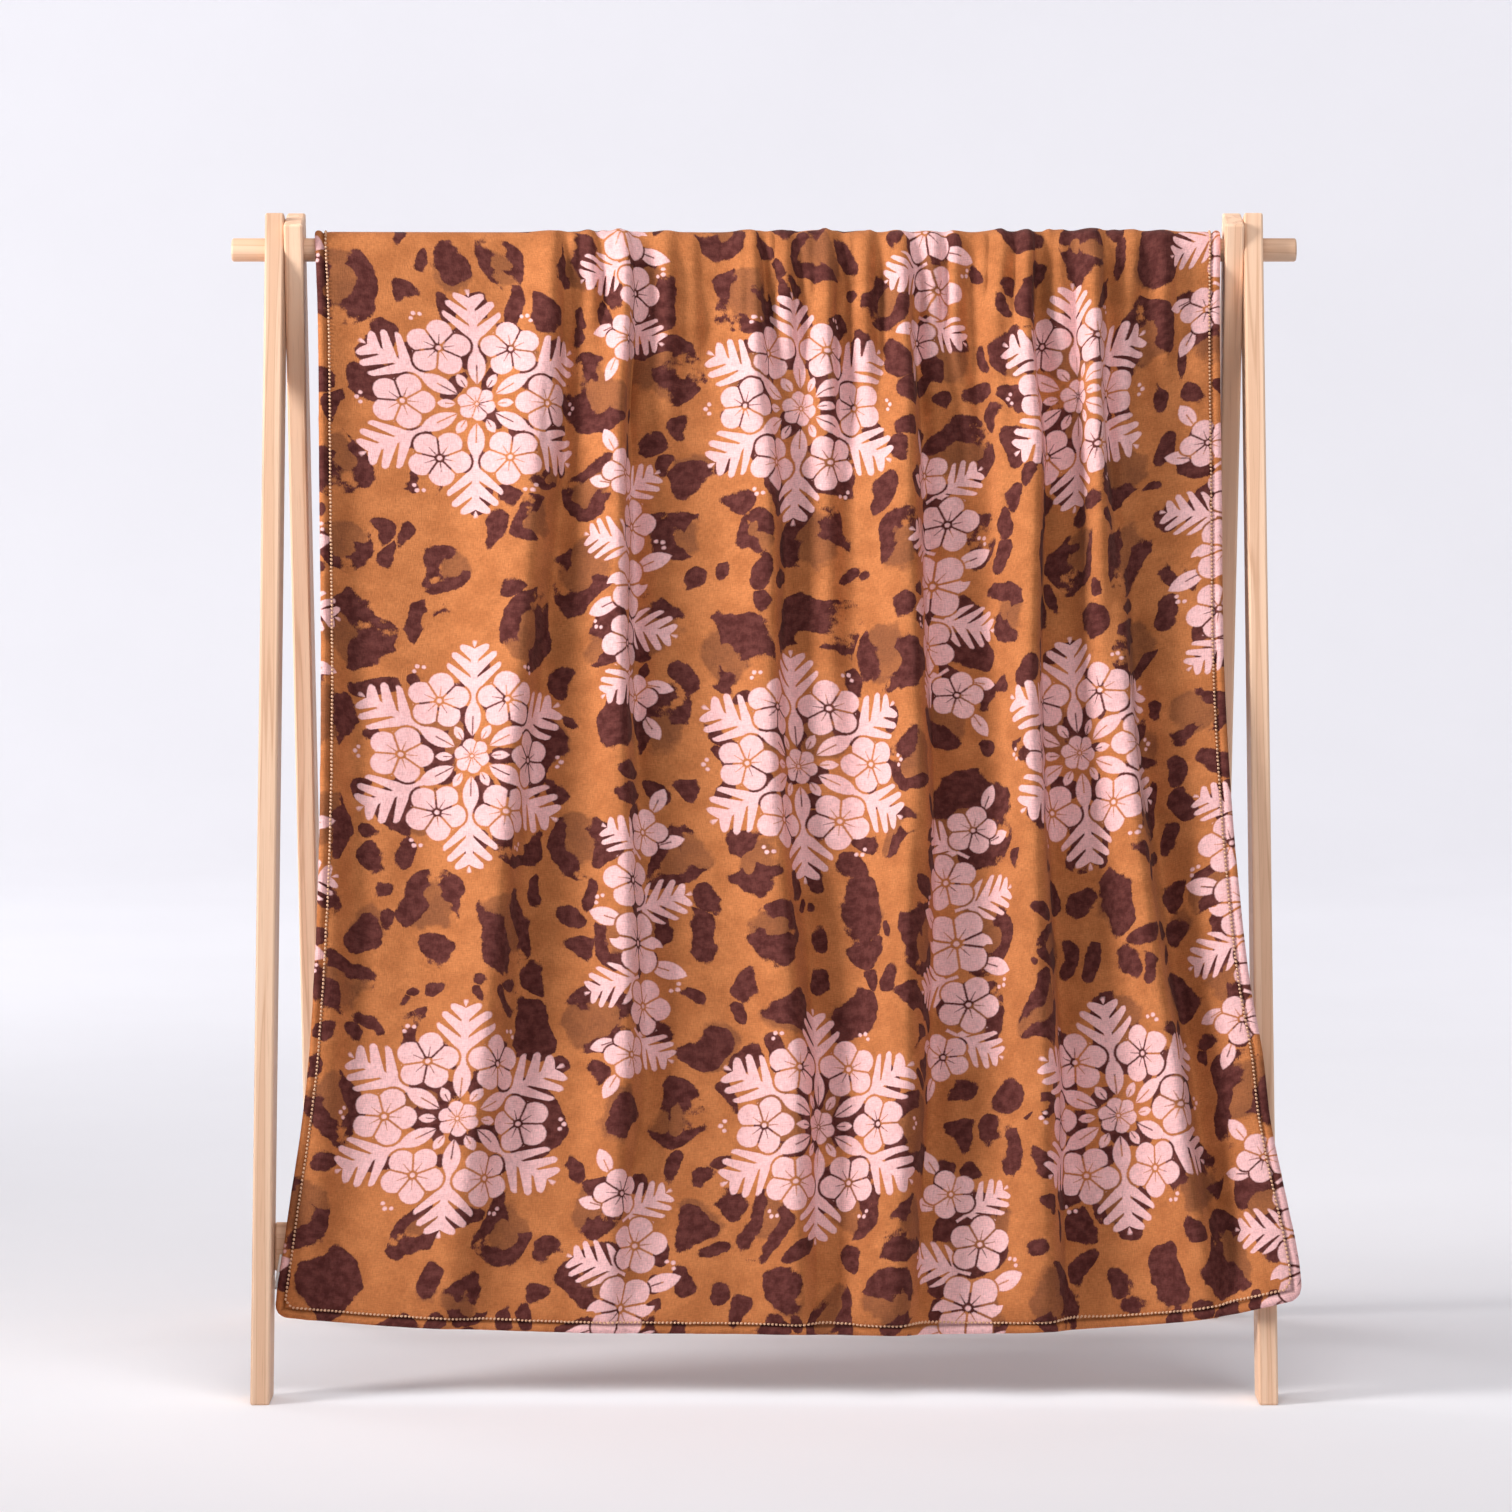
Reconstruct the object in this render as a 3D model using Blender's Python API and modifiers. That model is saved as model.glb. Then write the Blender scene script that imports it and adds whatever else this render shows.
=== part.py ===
"""A double-layer minky throw blanket, draped over the rod of a plain wooden rack.

Metres, +Z up. X runs along the rod. The long drop of the blanket leans forward, towards -Y. The origin is
on the floor, under the middle of the whole object.
"""

import math

import bmesh
import bpy
import numpy as np
from mathutils import Matrix, Vector

GAP = 0.0003  # left between two pieces that touch

# The rack: two pairs of crossed legs on one rod, each pair of feet tied by a stretcher
ROD_LENGTH = 1.000
ROD_RADIUS = 0.011
ROD_HEIGHT = 1.049  # of its axis
ROD_EDGE = 0.002
LEG_THICKNESS = 0.018
LEG_DEPTH = 0.050
LEG_ABOVE_ROD = 0.030  # from the rod's axis to the square-cut top, along the leg
LEG_EDGE = 0.002
LEG_OUTSIDE = 0.4675  # from the middle to the outer face of a front leg
FOOT_REACH = 0.248  # from under the rod to the middle of a foot
STRETCHER_HEIGHT = 0.045
STRETCHER_THICKNESS = 0.014
STRETCHER_MIDDLE = 0.138  # its height above the floor

# The blanket, as it is cut and sewn
BLANKET_WIDTH = 0.960
BLANKET_LENGTH = 1.480
CLOTH = 0.004  # two layers of short-pile minky
CLOTH_CLEARANCE = 0.002  # from the cloth's back to the stretcher
ROD_CLEARANCE = 0.001  # from the cloth's inner side to the rod
HANG = math.radians(3)  # the slope of the loose hem below the stretcher
HANG_LENGTH = 0.09  # of cloth over which the slope eases to that

# The long drop, by the share of it that lies above: where its two side edges are, from the middle
EDGES = {
    "share": (0, 0.05, 0.25, 0.45, 0.62, 0.72, 0.78, 0.84, 0.90, 0.95, 0.975, 1),
    "left": (-0.422, -0.419, -0.414, -0.41, -0.411, -0.415, -0.419, -0.426, -0.435, -0.442, -0.445, -0.4465),
    "right": (0.4285, 0.427, 0.426, 0.426, 0.435, 0.445, 0.455, 0.461, 0.472, 0.482, 0.486, 0.488),
}

# How much of the blanket's length hangs in front, across its width
DROP = {
    "across": (0.00, 0.08, 0.22, 0.50, 0.62, 0.78, 0.90, 1.00),
    "length": (1.019, 1.026, 1.032, 1.035, 1.035, 1.030, 1.020, 1.002),
}

# Long folds run from the rod to the hem, listed from left to right. Each is a ridge. Its crest is measured
# from the left edge on the flat cloth, and its height off the plane that the valleys lie in. Its left and
# right flanks reach further below than at the rod.
FOLD_PLACES = (0.00, 0.22, 0.53, 0.83, 1.00)  # shares of the long drop
LONG_FOLDS = (
    # crest at each place, height at each place, flanks at the rod, flanks below
    ((0.004, 0.006, 0.008, 0.022, 0.026), (0, 0.01, 0.018, 0.022, 0.014), (0.012, 0.012), (0.03, 0.019)),
    ((0.222, 0.204, 0.18, 0.156, 0.148), (0.01, 0.027, 0.04, 0.025, 0.012), (0.018, 0.012), (0.054, 0.03)),
    ((0.298, 0.312, 0.326, 0.322, 0.318), (0.01, 0.02, 0.018, 0.011, 0.006), (0.016, 0.011), (0.034, 0.016)),
    ((0.432, 0.447, 0.45, 0.478, 0.484), (0.017, 0.025, 0.016, 0.015, 0.01), (0.018, 0.013), (0.038, 0.022)),
    ((0.598, 0.603, 0.616, 0.594, 0.588), (0.012, 0.034, 0.05, 0.03, 0.015), (0.014, 0.011), (0.046, 0.032)),
    ((0.742, 0.754, 0.752, 0.744, 0.742), (0.02, 0.055, 0.06, 0.033, 0.014), (0.014, 0.012), (0.042, 0.032)),
    ((0.869, 0.853, 0.85, 0.86, 0.863), (0.014, 0.025, 0.038, 0.034, 0.014), (0.018, 0.012), (0.036, 0.026)),
    ((0.97, 0.97, 0.968, 0.956, 0.946), (0, 0.011, 0.032, 0.06, 0.068), (0.06, 0.02), (0.07, 0.05)),
)
WIDENED_BY = 0.25  # the share of the drop where the flanks have their reach below

# Short pleats are gathered on the rod and fade out down the drop
SHORT_PLEATS = (
    # crest at the rod, crest where it ends, height, left flank, right flank, deepest at, gone at
    (0.259, 0.264, 0.009, 0.012, 0.010, 0.03, 0.18),
    (0.346, 0.350, 0.017, 0.014, 0.012, 0.05, 0.26),
    (0.471, 0.476, 0.020, 0.014, 0.012, 0.05, 0.24),
    (0.511, 0.516, 0.018, 0.018, 0.015, 0.25, 0.66),
    (0.556, 0.557, 0.013, 0.014, 0.012, 0.06, 0.34),
    (0.630, 0.638, 0.013, 0.012, 0.011, 0.06, 0.36),
    (0.662, 0.670, 0.012, 0.011, 0.010, 0.08, 0.42),
    (0.706, 0.708, 0.024, 0.018, 0.013, 0.06, 0.50),
    (0.782, 0.786, 0.017, 0.012, 0.010, 0.03, 0.22),
    (0.822, 0.834, 0.034, 0.022, 0.014, 0.16, 0.62),
    (0.903, 0.906, 0.014, 0.014, 0.012, 0.04, 0.22),
)
ON_THE_ROD = 0.7  # share of a short pleat's height that it has on top of the rod
STEEPEST = 1.35  # radians, of any fold's flank
PRESSED = 0.28  # share of the folds' depth that the cloth keeps where it is pressed on the rod
PRESSED_LENGTH = 0.05  # of cloth from the top of the rod until it has all of it

FINE_COLUMNS = 961  # of the curve that each row's folds are worked out on
FACTOR_STEPS = 24  # halvings of the range that a row's factor is found in

# Rows of the blanket's grid, as shares of the long drop and then of the short one behind
FRONT_ROWS = (1, 0.965, 0.925, 0.87, 0.80, 0.72, 0.63, 0.54, 0.45, 0.36, 0.28, 0.21, 0.15, 0.10, 0.06)
WRAP_ROWS = (0.030, 0.021, 0.014, 0.007, 0.0, -0.007, -0.014, -0.021)  # metres from the top of the rod
BACK_ROWS = (0.10, 0.22, 0.40, 0.62, 0.84, 1)
COLUMN_PITCH = {  # spacing of the columns on the flat cloth, from each place to the next
    "from": (0.0, 0.042, 0.135, 0.210, 0.355, 0.420, 0.920),
    "pitch": (0.012, 0.022, 0.012, 0.0105, 0.014, 0.0095, 0.012),
}

# The label, a folded tab in the left seam
LABEL_FROM = 0.945  # share of the drop
LABEL_TO = 0.976
LABEL_OUT = 0.0022  # how far it stands out of the seam before it turns back
LABEL_BACK = 0.007
LABEL_THICKNESS = 0.0009


def clear_scene():
    for obj in list(bpy.data.objects):
        bpy.data.objects.remove(obj)


def new_collection(name):
    collection = bpy.data.collections.new(name)
    bpy.context.scene.collection.children.link(collection)
    return collection


def material(name, colour, roughness):
    """A Principled material of one linear colour."""
    made = bpy.data.materials.new(name)
    made.use_nodes = True
    shader = made.node_tree.nodes["Principled BSDF"]
    shader.inputs["Base Color"].default_value = (*colour, 1.0)
    shader.inputs["Roughness"].default_value = roughness
    shader.inputs["Metallic"].default_value = 0.0
    return made


def place(obj, collection, finish):
    obj.data.materials.clear()
    obj.data.materials.append(finish)
    collection.objects.link(obj)
    return obj


def add_bevel(obj, width, segments):
    bevel = obj.modifiers.new("rounded edges", "BEVEL")
    bevel.width = width
    bevel.segments = segments
    bevel.limit_method = "ANGLE"
    bevel.angle_limit = math.radians(40)


def lying_cylinder(name, radius, length, sides):
    """A cylinder along X, centred on its object's origin."""
    mesh = bpy.data.meshes.new(name)
    shape = bmesh.new()
    bmesh.ops.create_cone(
        shape, cap_ends=True, segments=sides, radius1=radius, radius2=radius, depth=length,
        matrix=Matrix.Rotation(math.pi / 2, 4, "Y"),
    )
    shape.to_mesh(mesh)
    shape.free()
    return bpy.data.objects.new(name, mesh)


def make_rod(collection, wood):
    rod = place(lying_cylinder("rod", ROD_RADIUS, ROD_LENGTH, 24), collection, wood)
    rod.location = (0, 0, ROD_HEIGHT)
    add_bevel(rod, ROD_EDGE, 2)
    rod.data.shade_smooth()
    rod.data.set_sharp_from_angle(angle=math.radians(35))
    return rod


def make_bore(collection):
    """The hole for the rod, as one long cutter through all four legs."""
    bore = lying_cylinder("rod bore cutter", ROD_RADIUS + GAP, ROD_LENGTH, 24)
    bore.location = (0, 0, ROD_HEIGHT)
    bore.hide_render = True
    bore.display_type = "WIRE"
    collection.objects.link(bore)
    return bore


def leg_slope():
    """The angle of a leg from the vertical."""
    return math.atan2(FOOT_REACH, ROD_HEIGHT)


def flat_board(name, outline, thickness):
    """A filled 2D curve through the outline, made a mesh: its thickness lies along its own Z."""
    curve = bpy.data.curves.new(name + " outline", "CURVE")
    curve.dimensions = "2D"
    curve.fill_mode = "BOTH"
    curve.extrude = thickness / 2
    line = curve.splines.new("POLY")
    line.points.add(len(outline) - 1)
    for point, (x, y) in zip(line.points, outline):
        point.co = (x, y, 0, 1)
    line.use_cyclic_u = True
    drawn = bpy.data.objects.new(name + " outline", curve)
    bpy.context.scene.collection.objects.link(drawn)
    bpy.context.view_layer.update()
    evaluated = drawn.evaluated_get(bpy.context.evaluated_depsgraph_get())
    mesh = bpy.data.meshes.new_from_object(evaluated)
    bpy.data.objects.remove(drawn)
    shape = bmesh.new()
    shape.from_mesh(mesh)
    bmesh.ops.remove_doubles(shape, verts=shape.verts, dist=1e-6)
    bmesh.ops.recalc_face_normals(shape, faces=shape.faces)
    shape.to_mesh(mesh)
    shape.free()
    return bpy.data.objects.new(name, mesh)


def make_leg(name, side, forward, collection, wood, bore):
    """A leg: side is -1 left or 1 right, forward is -1 for a front leg and 1 for a back one.

    Its outline is drawn as seen from the side, with the rod's axis at (0, ROD_HEIGHT). It is cut square at
    the top and level at the foot.
    """
    slope = leg_slope()
    along = Vector((-forward * math.sin(slope), math.cos(slope)))
    across = Vector((math.cos(slope), forward * math.sin(slope)))
    axis = Vector((0, ROD_HEIGHT))
    top = axis + along * LEG_ABOVE_ROD
    half = LEG_DEPTH / 2
    foot_half = half / math.cos(slope)
    outline = [
        top - across * half,
        Vector((forward * FOOT_REACH - foot_half, 0)),
        Vector((forward * FOOT_REACH + foot_half, 0)),
        top + across * half,
    ]
    leg = flat_board(name, outline, LEG_THICKNESS - GAP)
    # the outline's x is the world's Y, its y is the world's Z, and its thickness lies along X
    middle = LEG_OUTSIDE - LEG_THICKNESS * (0.5 if forward < 0 else 1.5)
    leg.matrix_world = Matrix.Translation((side * middle, 0, 0)) @ Matrix(
        ((0, 0, 1, 0), (1, 0, 0, 0), (0, 1, 0, 0), (0, 0, 0, 1))
    )
    place(leg, collection, wood)
    add_bevel(leg, LEG_EDGE, 2)
    drill = leg.modifiers.new("bore for the rod", "BOOLEAN")
    drill.operation = "DIFFERENCE"
    drill.object = bore
    return leg


def stretcher_place(forward):
    """The middle of a stretcher, flush with its legs' inner edges: its Y and Z."""
    slope = leg_slope()
    leg_middle = FOOT_REACH * (1 - STRETCHER_MIDDLE / ROD_HEIGHT)
    inwards = (LEG_DEPTH - STRETCHER_THICKNESS) / 2
    return (
        forward * (leg_middle - inwards * math.cos(slope)),
        STRETCHER_MIDDLE - inwards * math.sin(slope),
    )


def make_stretcher(name, forward, collection, wood):
    """A flat board between the inner faces of two legs, tilted as they are."""
    face = LEG_OUTSIDE - LEG_THICKNESS * (1 if forward < 0 else 2)
    mesh = bpy.data.meshes.new(name)
    shape = bmesh.new()
    bmesh.ops.create_cube(shape, size=1.0)
    size = (2 * (face - GAP), STRETCHER_THICKNESS, STRETCHER_HEIGHT)
    bmesh.ops.scale(shape, vec=size, verts=shape.verts)
    shape.to_mesh(mesh)
    shape.free()
    board = place(bpy.data.objects.new(name, mesh), collection, wood)
    board.location = (0, *stretcher_place(forward))
    board.rotation_euler = (forward * leg_slope(), 0, 0)
    add_bevel(board, 0.0015, 1)
    return board


def smooth_through(x, places, values):
    """A smooth curve through (place, value) pairs: cubic pieces, with slopes taken from the neighbours."""
    places = np.asarray(places, float)
    values = np.asarray(values, float)
    slopes = np.gradient(values, places)
    x = np.clip(x, places[0], places[-1])
    i = np.clip(np.searchsorted(places, x) - 1, 0, len(places) - 2)
    step = places[i + 1] - places[i]
    t = (x - places[i]) / step
    return (
        values[i] * (1 + 2 * t) * (1 - t) ** 2
        + slopes[i] * step * t * (1 - t) ** 2
        + values[i + 1] * t**2 * (3 - 2 * t)
        + slopes[i + 1] * step * t**2 * (t - 1)
    )


def ease(t):
    """From 0 to 1, level at both ends."""
    t = np.clip(t, 0, 1)
    return t * t * (3 - 2 * t)


def hang_line():
    """The line that the blanket's valleys follow, seen from the side, as arrays along it.

    It turns round the rod, leans straight down to clear the stretcher's lower front edge, and hangs loose
    below that. Behind the rod it hangs straight down. Distances run from the top of the rod, forward.
    """
    turn = ROD_RADIUS + ROD_CLEARANCE + CLOTH / 2
    slope = leg_slope()
    middle_y, middle_z = stretcher_place(-1)
    half_thick, half_tall = STRETCHER_THICKNESS / 2, STRETCHER_HEIGHT / 2
    edge_y = middle_y - half_thick * math.cos(slope) - half_tall * math.sin(slope)
    edge_z = middle_z + half_thick * math.sin(slope) - half_tall * math.cos(slope)
    down, out = ROD_HEIGHT - edge_z, -edge_y
    far = math.hypot(down, out)
    lean = math.atan2(out, down) - math.asin((turn - CLOTH_CLEARANCE - CLOTH / 2) / far)
    along = np.linspace(-0.60, 1.10, 3401)
    angle = np.clip(along / turn, -math.pi / 2, math.pi / 2 - lean)
    angle = angle + ease((along - far) / HANG_LENGTH) * (lean - HANG)
    step = along[1] - along[0]
    y = -np.cumsum(np.cos(angle)) * step
    z = -np.cumsum(np.sin(angle)) * step
    top = np.searchsorted(along, 0.0)
    return along, y - y[top], z - z[top] + ROD_HEIGHT + turn, angle


def fold_rows(below):
    """Crest, height, left flank and right flank of every fold, at each share of the long drop."""
    widen = ease(below / WIDENED_BY)
    for crests, heights, at_rod, lower in LONG_FOLDS:
        left, right = (start + (end - start) * widen for start, end in zip(at_rod, lower))
        crest = smooth_through(below, FOLD_PLACES, crests)
        yield crest, smooth_through(below, FOLD_PLACES, heights), left, right
    for start, end, height, left, right, deepest, gone in SHORT_PLEATS:
        grown = ON_THE_ROD + (1 - ON_THE_ROD) * ease(below / deepest)
        fade = 1 - ease((below - deepest) / (gone - deepest))
        yield start + (end - start) * np.clip(below / gone, 0, 1), height * grown * fade, left, right


def folds(flat, below):
    """The height and the slope of all folds together. Each is a bell curve whose two flanks differ."""
    height = slope = 0
    for crest, tall, left, right in fold_rows(below):
        away = flat - crest
        reach = np.where(away < 0, left, right)
        bell = tall * np.exp(-((away / reach) ** 2))
        height = height + bell
        slope = slope - 2 * away / reach**2 * bell
    return height, slope


def running_sum(values, step):
    """The area under each row of values, up to each place along it."""
    steps = (values[:, 1:] + values[:, :-1]) * step / 2
    return np.concatenate([np.zeros((len(values), 1)), np.cumsum(steps, axis=1)], axis=1)


def blanket_surface(flat, share):
    """Points of the middle of the cloth, for flat places across (m) and shares down, as a grid of rows.

    Each row is a line of the cloth's real width: it runs along X by the cosine of the folds' slope and off
    the hang line by the sine. One factor for each row scales its folds until both edges are in place.
    Behind the rod, where the share is negative, the folds are those at the same distance down in front.
    """
    fine = np.linspace(0, BLANKET_WIDTH, FINE_COLUMNS)
    rows = share[:, None]
    middle_drop = DROP["length"][3]
    below = np.where(rows < 0, -rows * (BLANKET_LENGTH - middle_drop) / middle_drop, rows)
    height, slopes = folds(fine, below)
    left = smooth_through(below, EDGES["share"], EDGES["left"])
    width = smooth_through(below, EDGES["share"], EDGES["right"]) - left
    low, high = np.zeros_like(rows), np.full_like(rows, 2.0)
    for _ in range(FACTOR_STEPS):
        factor = (low + high) / 2
        leaned = STEEPEST * np.tanh(factor * slopes / STEEPEST)
        too_wide = np.cos(leaned).mean(axis=1, keepdims=True) * BLANKET_WIDTH > width
        low = np.where(too_wide, factor, low)
        high = np.where(too_wide, high, factor)
    x = running_sum(np.cos(leaned), fine[1])
    x = left + x * width / x[:, -1:]
    off = running_sum(np.sin(leaned), fine[1]) + height[:, :1]
    off = off - (off[:, -1:] - height[:, -1:]) * fine / BLANKET_WIDTH
    off = off - off.min(axis=1, keepdims=True)
    x = np.array([np.interp(flat, fine, line) for line in x])
    off = np.array([np.interp(flat, fine, line) for line in off])
    drop = smooth_through(flat / BLANKET_WIDTH, DROP["across"], DROP["length"])
    reach = np.where(rows >= 0, rows * drop, rows * (BLANKET_LENGTH - drop))
    off = off * (PRESSED + (1 - PRESSED) * ease(np.abs(reach) / PRESSED_LENGTH))
    along, line_y, line_z, angle = hang_line()
    turned = np.interp(reach, along, angle)
    y = np.interp(reach, along, line_y) - np.sin(turned) * off
    z = np.interp(reach, along, line_z) + np.cos(turned) * off
    return np.stack([x, y, z], axis=-1), factor[:, 0]


def grid_columns():
    """Places across the flat cloth, closer together where the folds are tight."""
    ends = (*COLUMN_PITCH["from"][1:], BLANKET_WIDTH)
    columns = [0.0]
    for start, end, pitch in zip(COLUMN_PITCH["from"], ends, COLUMN_PITCH["pitch"]):
        count = max(1, round((end - start) / pitch))
        columns.extend(start + (end - start) * (i + 1) / count for i in range(count))
    return np.array(columns)


def grid_rows():
    """Shares of the drop from the front hem, over the rod, to the back hem, which is at -1."""
    drop = DROP["length"][3]
    wrap = [at / (drop if at >= 0 else BLANKET_LENGTH - drop) for at in WRAP_ROWS]
    return np.array([*FRONT_ROWS, *wrap, *(-at for at in BACK_ROWS)])


def sheet_object(name, points, thickness):
    """An open grid of points, thickened to both sides."""
    rows, columns = points.shape[:2]
    index = np.arange(rows * columns).reshape(rows, columns)
    faces = np.stack([index[:-1, :-1], index[:-1, 1:], index[1:, 1:], index[1:, :-1]], axis=-1)
    mesh = bpy.data.meshes.new(name)
    mesh.from_pydata(points.reshape(-1, 3).tolist(), [], faces.reshape(-1, 4).tolist())
    mesh.validate()
    mesh.shade_smooth()
    sheet = bpy.data.objects.new(name, mesh)
    thicken = sheet.modifiers.new("cloth", "SOLIDIFY")
    thicken.thickness = thickness
    thicken.offset = 0
    return sheet


def make_blanket(collection, minky):
    points, _ = blanket_surface(grid_columns(), grid_rows())
    return place(sheet_object("blanket", points, CLOTH), collection, minky)


def make_label(collection, tape):
    """A strip that leaves the seam sideways and turns back along the edge."""
    heights = np.linspace(LABEL_TO, LABEL_FROM, 4)
    edge, _ = blanket_surface(np.array([0.0]), heights)
    turn = np.linspace(0, math.pi / 2, 5)
    out = GAP * 2 + LABEL_OUT * np.sin(turn)
    back = LABEL_OUT * (1 - np.cos(turn))
    out = np.append(out, out[-1])
    back = np.append(back, LABEL_BACK)
    points = np.repeat(edge, len(out), axis=1)
    points[..., 0] -= out
    points[..., 1] += back
    return place(sheet_object("label", points[:, ::-1], LABEL_THICKNESS), collection, tape)


def shift_to_origin(objects):
    """The move that brings the bottom centre of the objects' common box to the origin."""
    bpy.context.view_layer.update()
    graph = bpy.context.evaluated_depsgraph_get()
    corners = []
    for obj in objects:
        evaluated = obj.evaluated_get(graph)
        corners.extend(evaluated.matrix_world @ vertex.co for vertex in evaluated.data.vertices)
    low = Vector(map(min, zip(*corners)))
    high = Vector(map(max, zip(*corners)))
    return Vector((-(low.x + high.x) / 2, -(low.y + high.y) / 2, -low.z))


def main():
    clear_scene()
    model = new_collection("minky blanket on a rack")
    cutters = new_collection("cutters")
    pine = material("pale pine", (0.62, 0.42, 0.25), 0.55)
    minky = material("printed minky", (0.50, 0.21, 0.08), 0.85)
    tape = material("white woven tape", (0.85, 0.84, 0.82), 0.7)
    bore = make_bore(cutters)
    pieces = [make_rod(model, pine)]
    for side, side_name in ((-1, "left"), (1, "right")):
        for forward, forward_name in ((-1, "front"), (1, "back")):
            pieces.append(make_leg(f"leg_{side_name}_{forward_name}", side, forward, model, pine, bore))
    pieces.append(make_stretcher("stretcher_front", -1, model, pine))
    pieces.append(make_stretcher("stretcher_back", 1, model, pine))
    pieces.append(make_blanket(model, minky))
    pieces.append(make_label(model, tape))
    shift = shift_to_origin(pieces)
    for obj in [*pieces, bore]:
        obj.matrix_world = Matrix.Translation(shift) @ obj.matrix_world


main()
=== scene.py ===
# %% [markdown]
# # A minky throw on a wooden rack
#
# A double-layer throw of printed minky hangs over the rod of a plain A-frame rack. The long drop leans
# forward over the front stretcher, and a short drop hangs behind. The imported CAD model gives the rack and
# the places. This lesson hangs a finer cloth in the blanket's place, with its print, its rolled and
# topstitched edge and its nap, and gives the rack its pine.

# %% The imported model
import math
from functools import partial, reduce

import bmesh
import bpy
import numpy as np
from mathutils import Euler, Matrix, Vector


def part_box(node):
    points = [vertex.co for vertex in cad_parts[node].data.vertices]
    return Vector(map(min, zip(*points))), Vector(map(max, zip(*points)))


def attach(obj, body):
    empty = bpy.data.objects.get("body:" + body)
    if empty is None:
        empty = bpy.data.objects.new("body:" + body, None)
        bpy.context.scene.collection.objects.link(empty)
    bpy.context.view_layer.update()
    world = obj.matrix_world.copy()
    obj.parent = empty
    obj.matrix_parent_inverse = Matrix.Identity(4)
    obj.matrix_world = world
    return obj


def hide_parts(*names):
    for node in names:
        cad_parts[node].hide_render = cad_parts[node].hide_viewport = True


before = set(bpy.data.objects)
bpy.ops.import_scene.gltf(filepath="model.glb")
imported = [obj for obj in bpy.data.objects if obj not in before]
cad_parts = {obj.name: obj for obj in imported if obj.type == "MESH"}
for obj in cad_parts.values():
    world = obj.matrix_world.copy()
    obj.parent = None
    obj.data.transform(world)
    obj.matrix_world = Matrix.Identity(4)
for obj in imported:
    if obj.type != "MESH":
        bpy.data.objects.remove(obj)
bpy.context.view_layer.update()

scene = bpy.context.scene
rod_low, rod_high = (np.array(corner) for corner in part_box("rod"))
ROD_Y = (rod_low[1] + rod_high[1]) / 2
ROD_HEIGHT = (rod_low[2] + rod_high[2]) / 2
print("rod's axis at y", round(ROD_Y, 4), "z", round(ROD_HEIGHT, 4))

# %% [markdown]
# ## Camera
#
# The camera stands six metres in front of the rod with a long lens, so the legs hardly converge. It is
# almost as high as the rod and looks slightly down, which shows the floor between the feet.

# %% The camera
FOCAL_LENGTH = 152.0  # mm, on a sensor 36 mm wide
PITCH = math.radians(4.1)
CAMERA_FROM_ROD = 6.0186
CAMERA_BELOW_ROD = 0.0454
CAMERA_X = -0.0075

camera_data = bpy.data.cameras.new("photo camera")
camera_data.lens = FOCAL_LENGTH
camera_data.sensor_width = 36.0
camera_data.sensor_fit = "HORIZONTAL"
camera_data.clip_end = 60.0
camera = bpy.data.objects.new("photo camera", camera_data)
camera.location = (CAMERA_X, ROD_Y - CAMERA_FROM_ROD, ROD_HEIGHT - CAMERA_BELOW_ROD)
camera.rotation_euler = Euler((math.pi / 2 - PITCH, 0, 0))
scene.collection.objects.link(camera)
scene.camera = camera
print("camera at", [round(x, 3) for x in camera.location])

# %% [markdown]
# ## Numbers that vary over a surface
#
# A printed design can be drawn without any picture: it is arithmetic on the place on the cloth. Shader
# nodes do arithmetic, one node for each step, which is long to write out. So a small class stands for the
# output of a node, and plus, minus and the rest make the next node. A shape is then written as a formula:
# a number that is negative inside it, and about the distance to its outline in metres outside it.


# %% Node arithmetic
def operator(operation, swapped=False):
    """A method that adds one Math node, with its two values swapped for the reflected operators."""
    if swapped:
        return lambda self, other: calculate(operation, other, self)
    return lambda self, other: calculate(operation, self, other)


class Field:
    """A number that varies over a surface: one node's output. Arithmetic on it adds Math nodes."""

    def __init__(self, socket):
        self.socket = socket

    __add__, __radd__ = operator("ADD"), operator("ADD", True)
    __sub__, __rsub__ = operator("SUBTRACT"), operator("SUBTRACT", True)
    __mul__, __rmul__ = operator("MULTIPLY"), operator("MULTIPLY", True)
    __truediv__ = operator("DIVIDE")

    def __neg__(self):
        return self * -1.0

    def __abs__(self):
        return calculate("ABSOLUTE", self)


def feed(tree, value, place):
    """Links a field or a node's output to a node's input, or sets the input to a constant."""
    socket = value.socket if isinstance(value, Field) else value
    if isinstance(socket, bpy.types.NodeSocket):
        tree.links.new(socket, place)
    else:
        place.default_value = value


def feed_all(tree, node, inputs):
    """Feeds several of a node's inputs, given by name or number."""
    for name, value in inputs.items():
        feed(tree, value, node.inputs[name])
    return node


def add_node(tree, kind, inputs):
    """A new shader node of a kind, with its inputs fed."""
    return feed_all(tree, tree.nodes.new("ShaderNode" + kind), inputs)


def calculate(operation, *values):
    """One Math node on fields and numbers."""
    tree = next(value.socket.id_data for value in values if isinstance(value, Field))
    node = add_node(tree, "Math", dict(enumerate(values)))
    node.operation = operation
    return Field(node.outputs[0])


def smaller(*fields):
    """The union of shapes: the smallest of their distances."""
    return reduce(partial(calculate, "MINIMUM"), fields)


def larger(*fields):
    """What shapes have in common: the largest of their distances."""
    return reduce(partial(calculate, "MAXIMUM"), fields)


def length(x, y):
    return calculate("SQRT", x * x + y * y)


def from_polar(out, angle):
    """The two coordinates of a place that is out from the middle at an angle."""
    return out * calculate("COSINE", angle), out * calculate("SINE", angle)


def nearest_whole(x):
    return calculate("ROUND", x)


def inside(distance, soft):
    """1 inside a shape and 0 outside, with an edge as soft as dye on pile."""
    share = calculate("SUBTRACT", 0.5, distance / soft)
    share.socket.node.use_clamp = True
    return share


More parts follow.
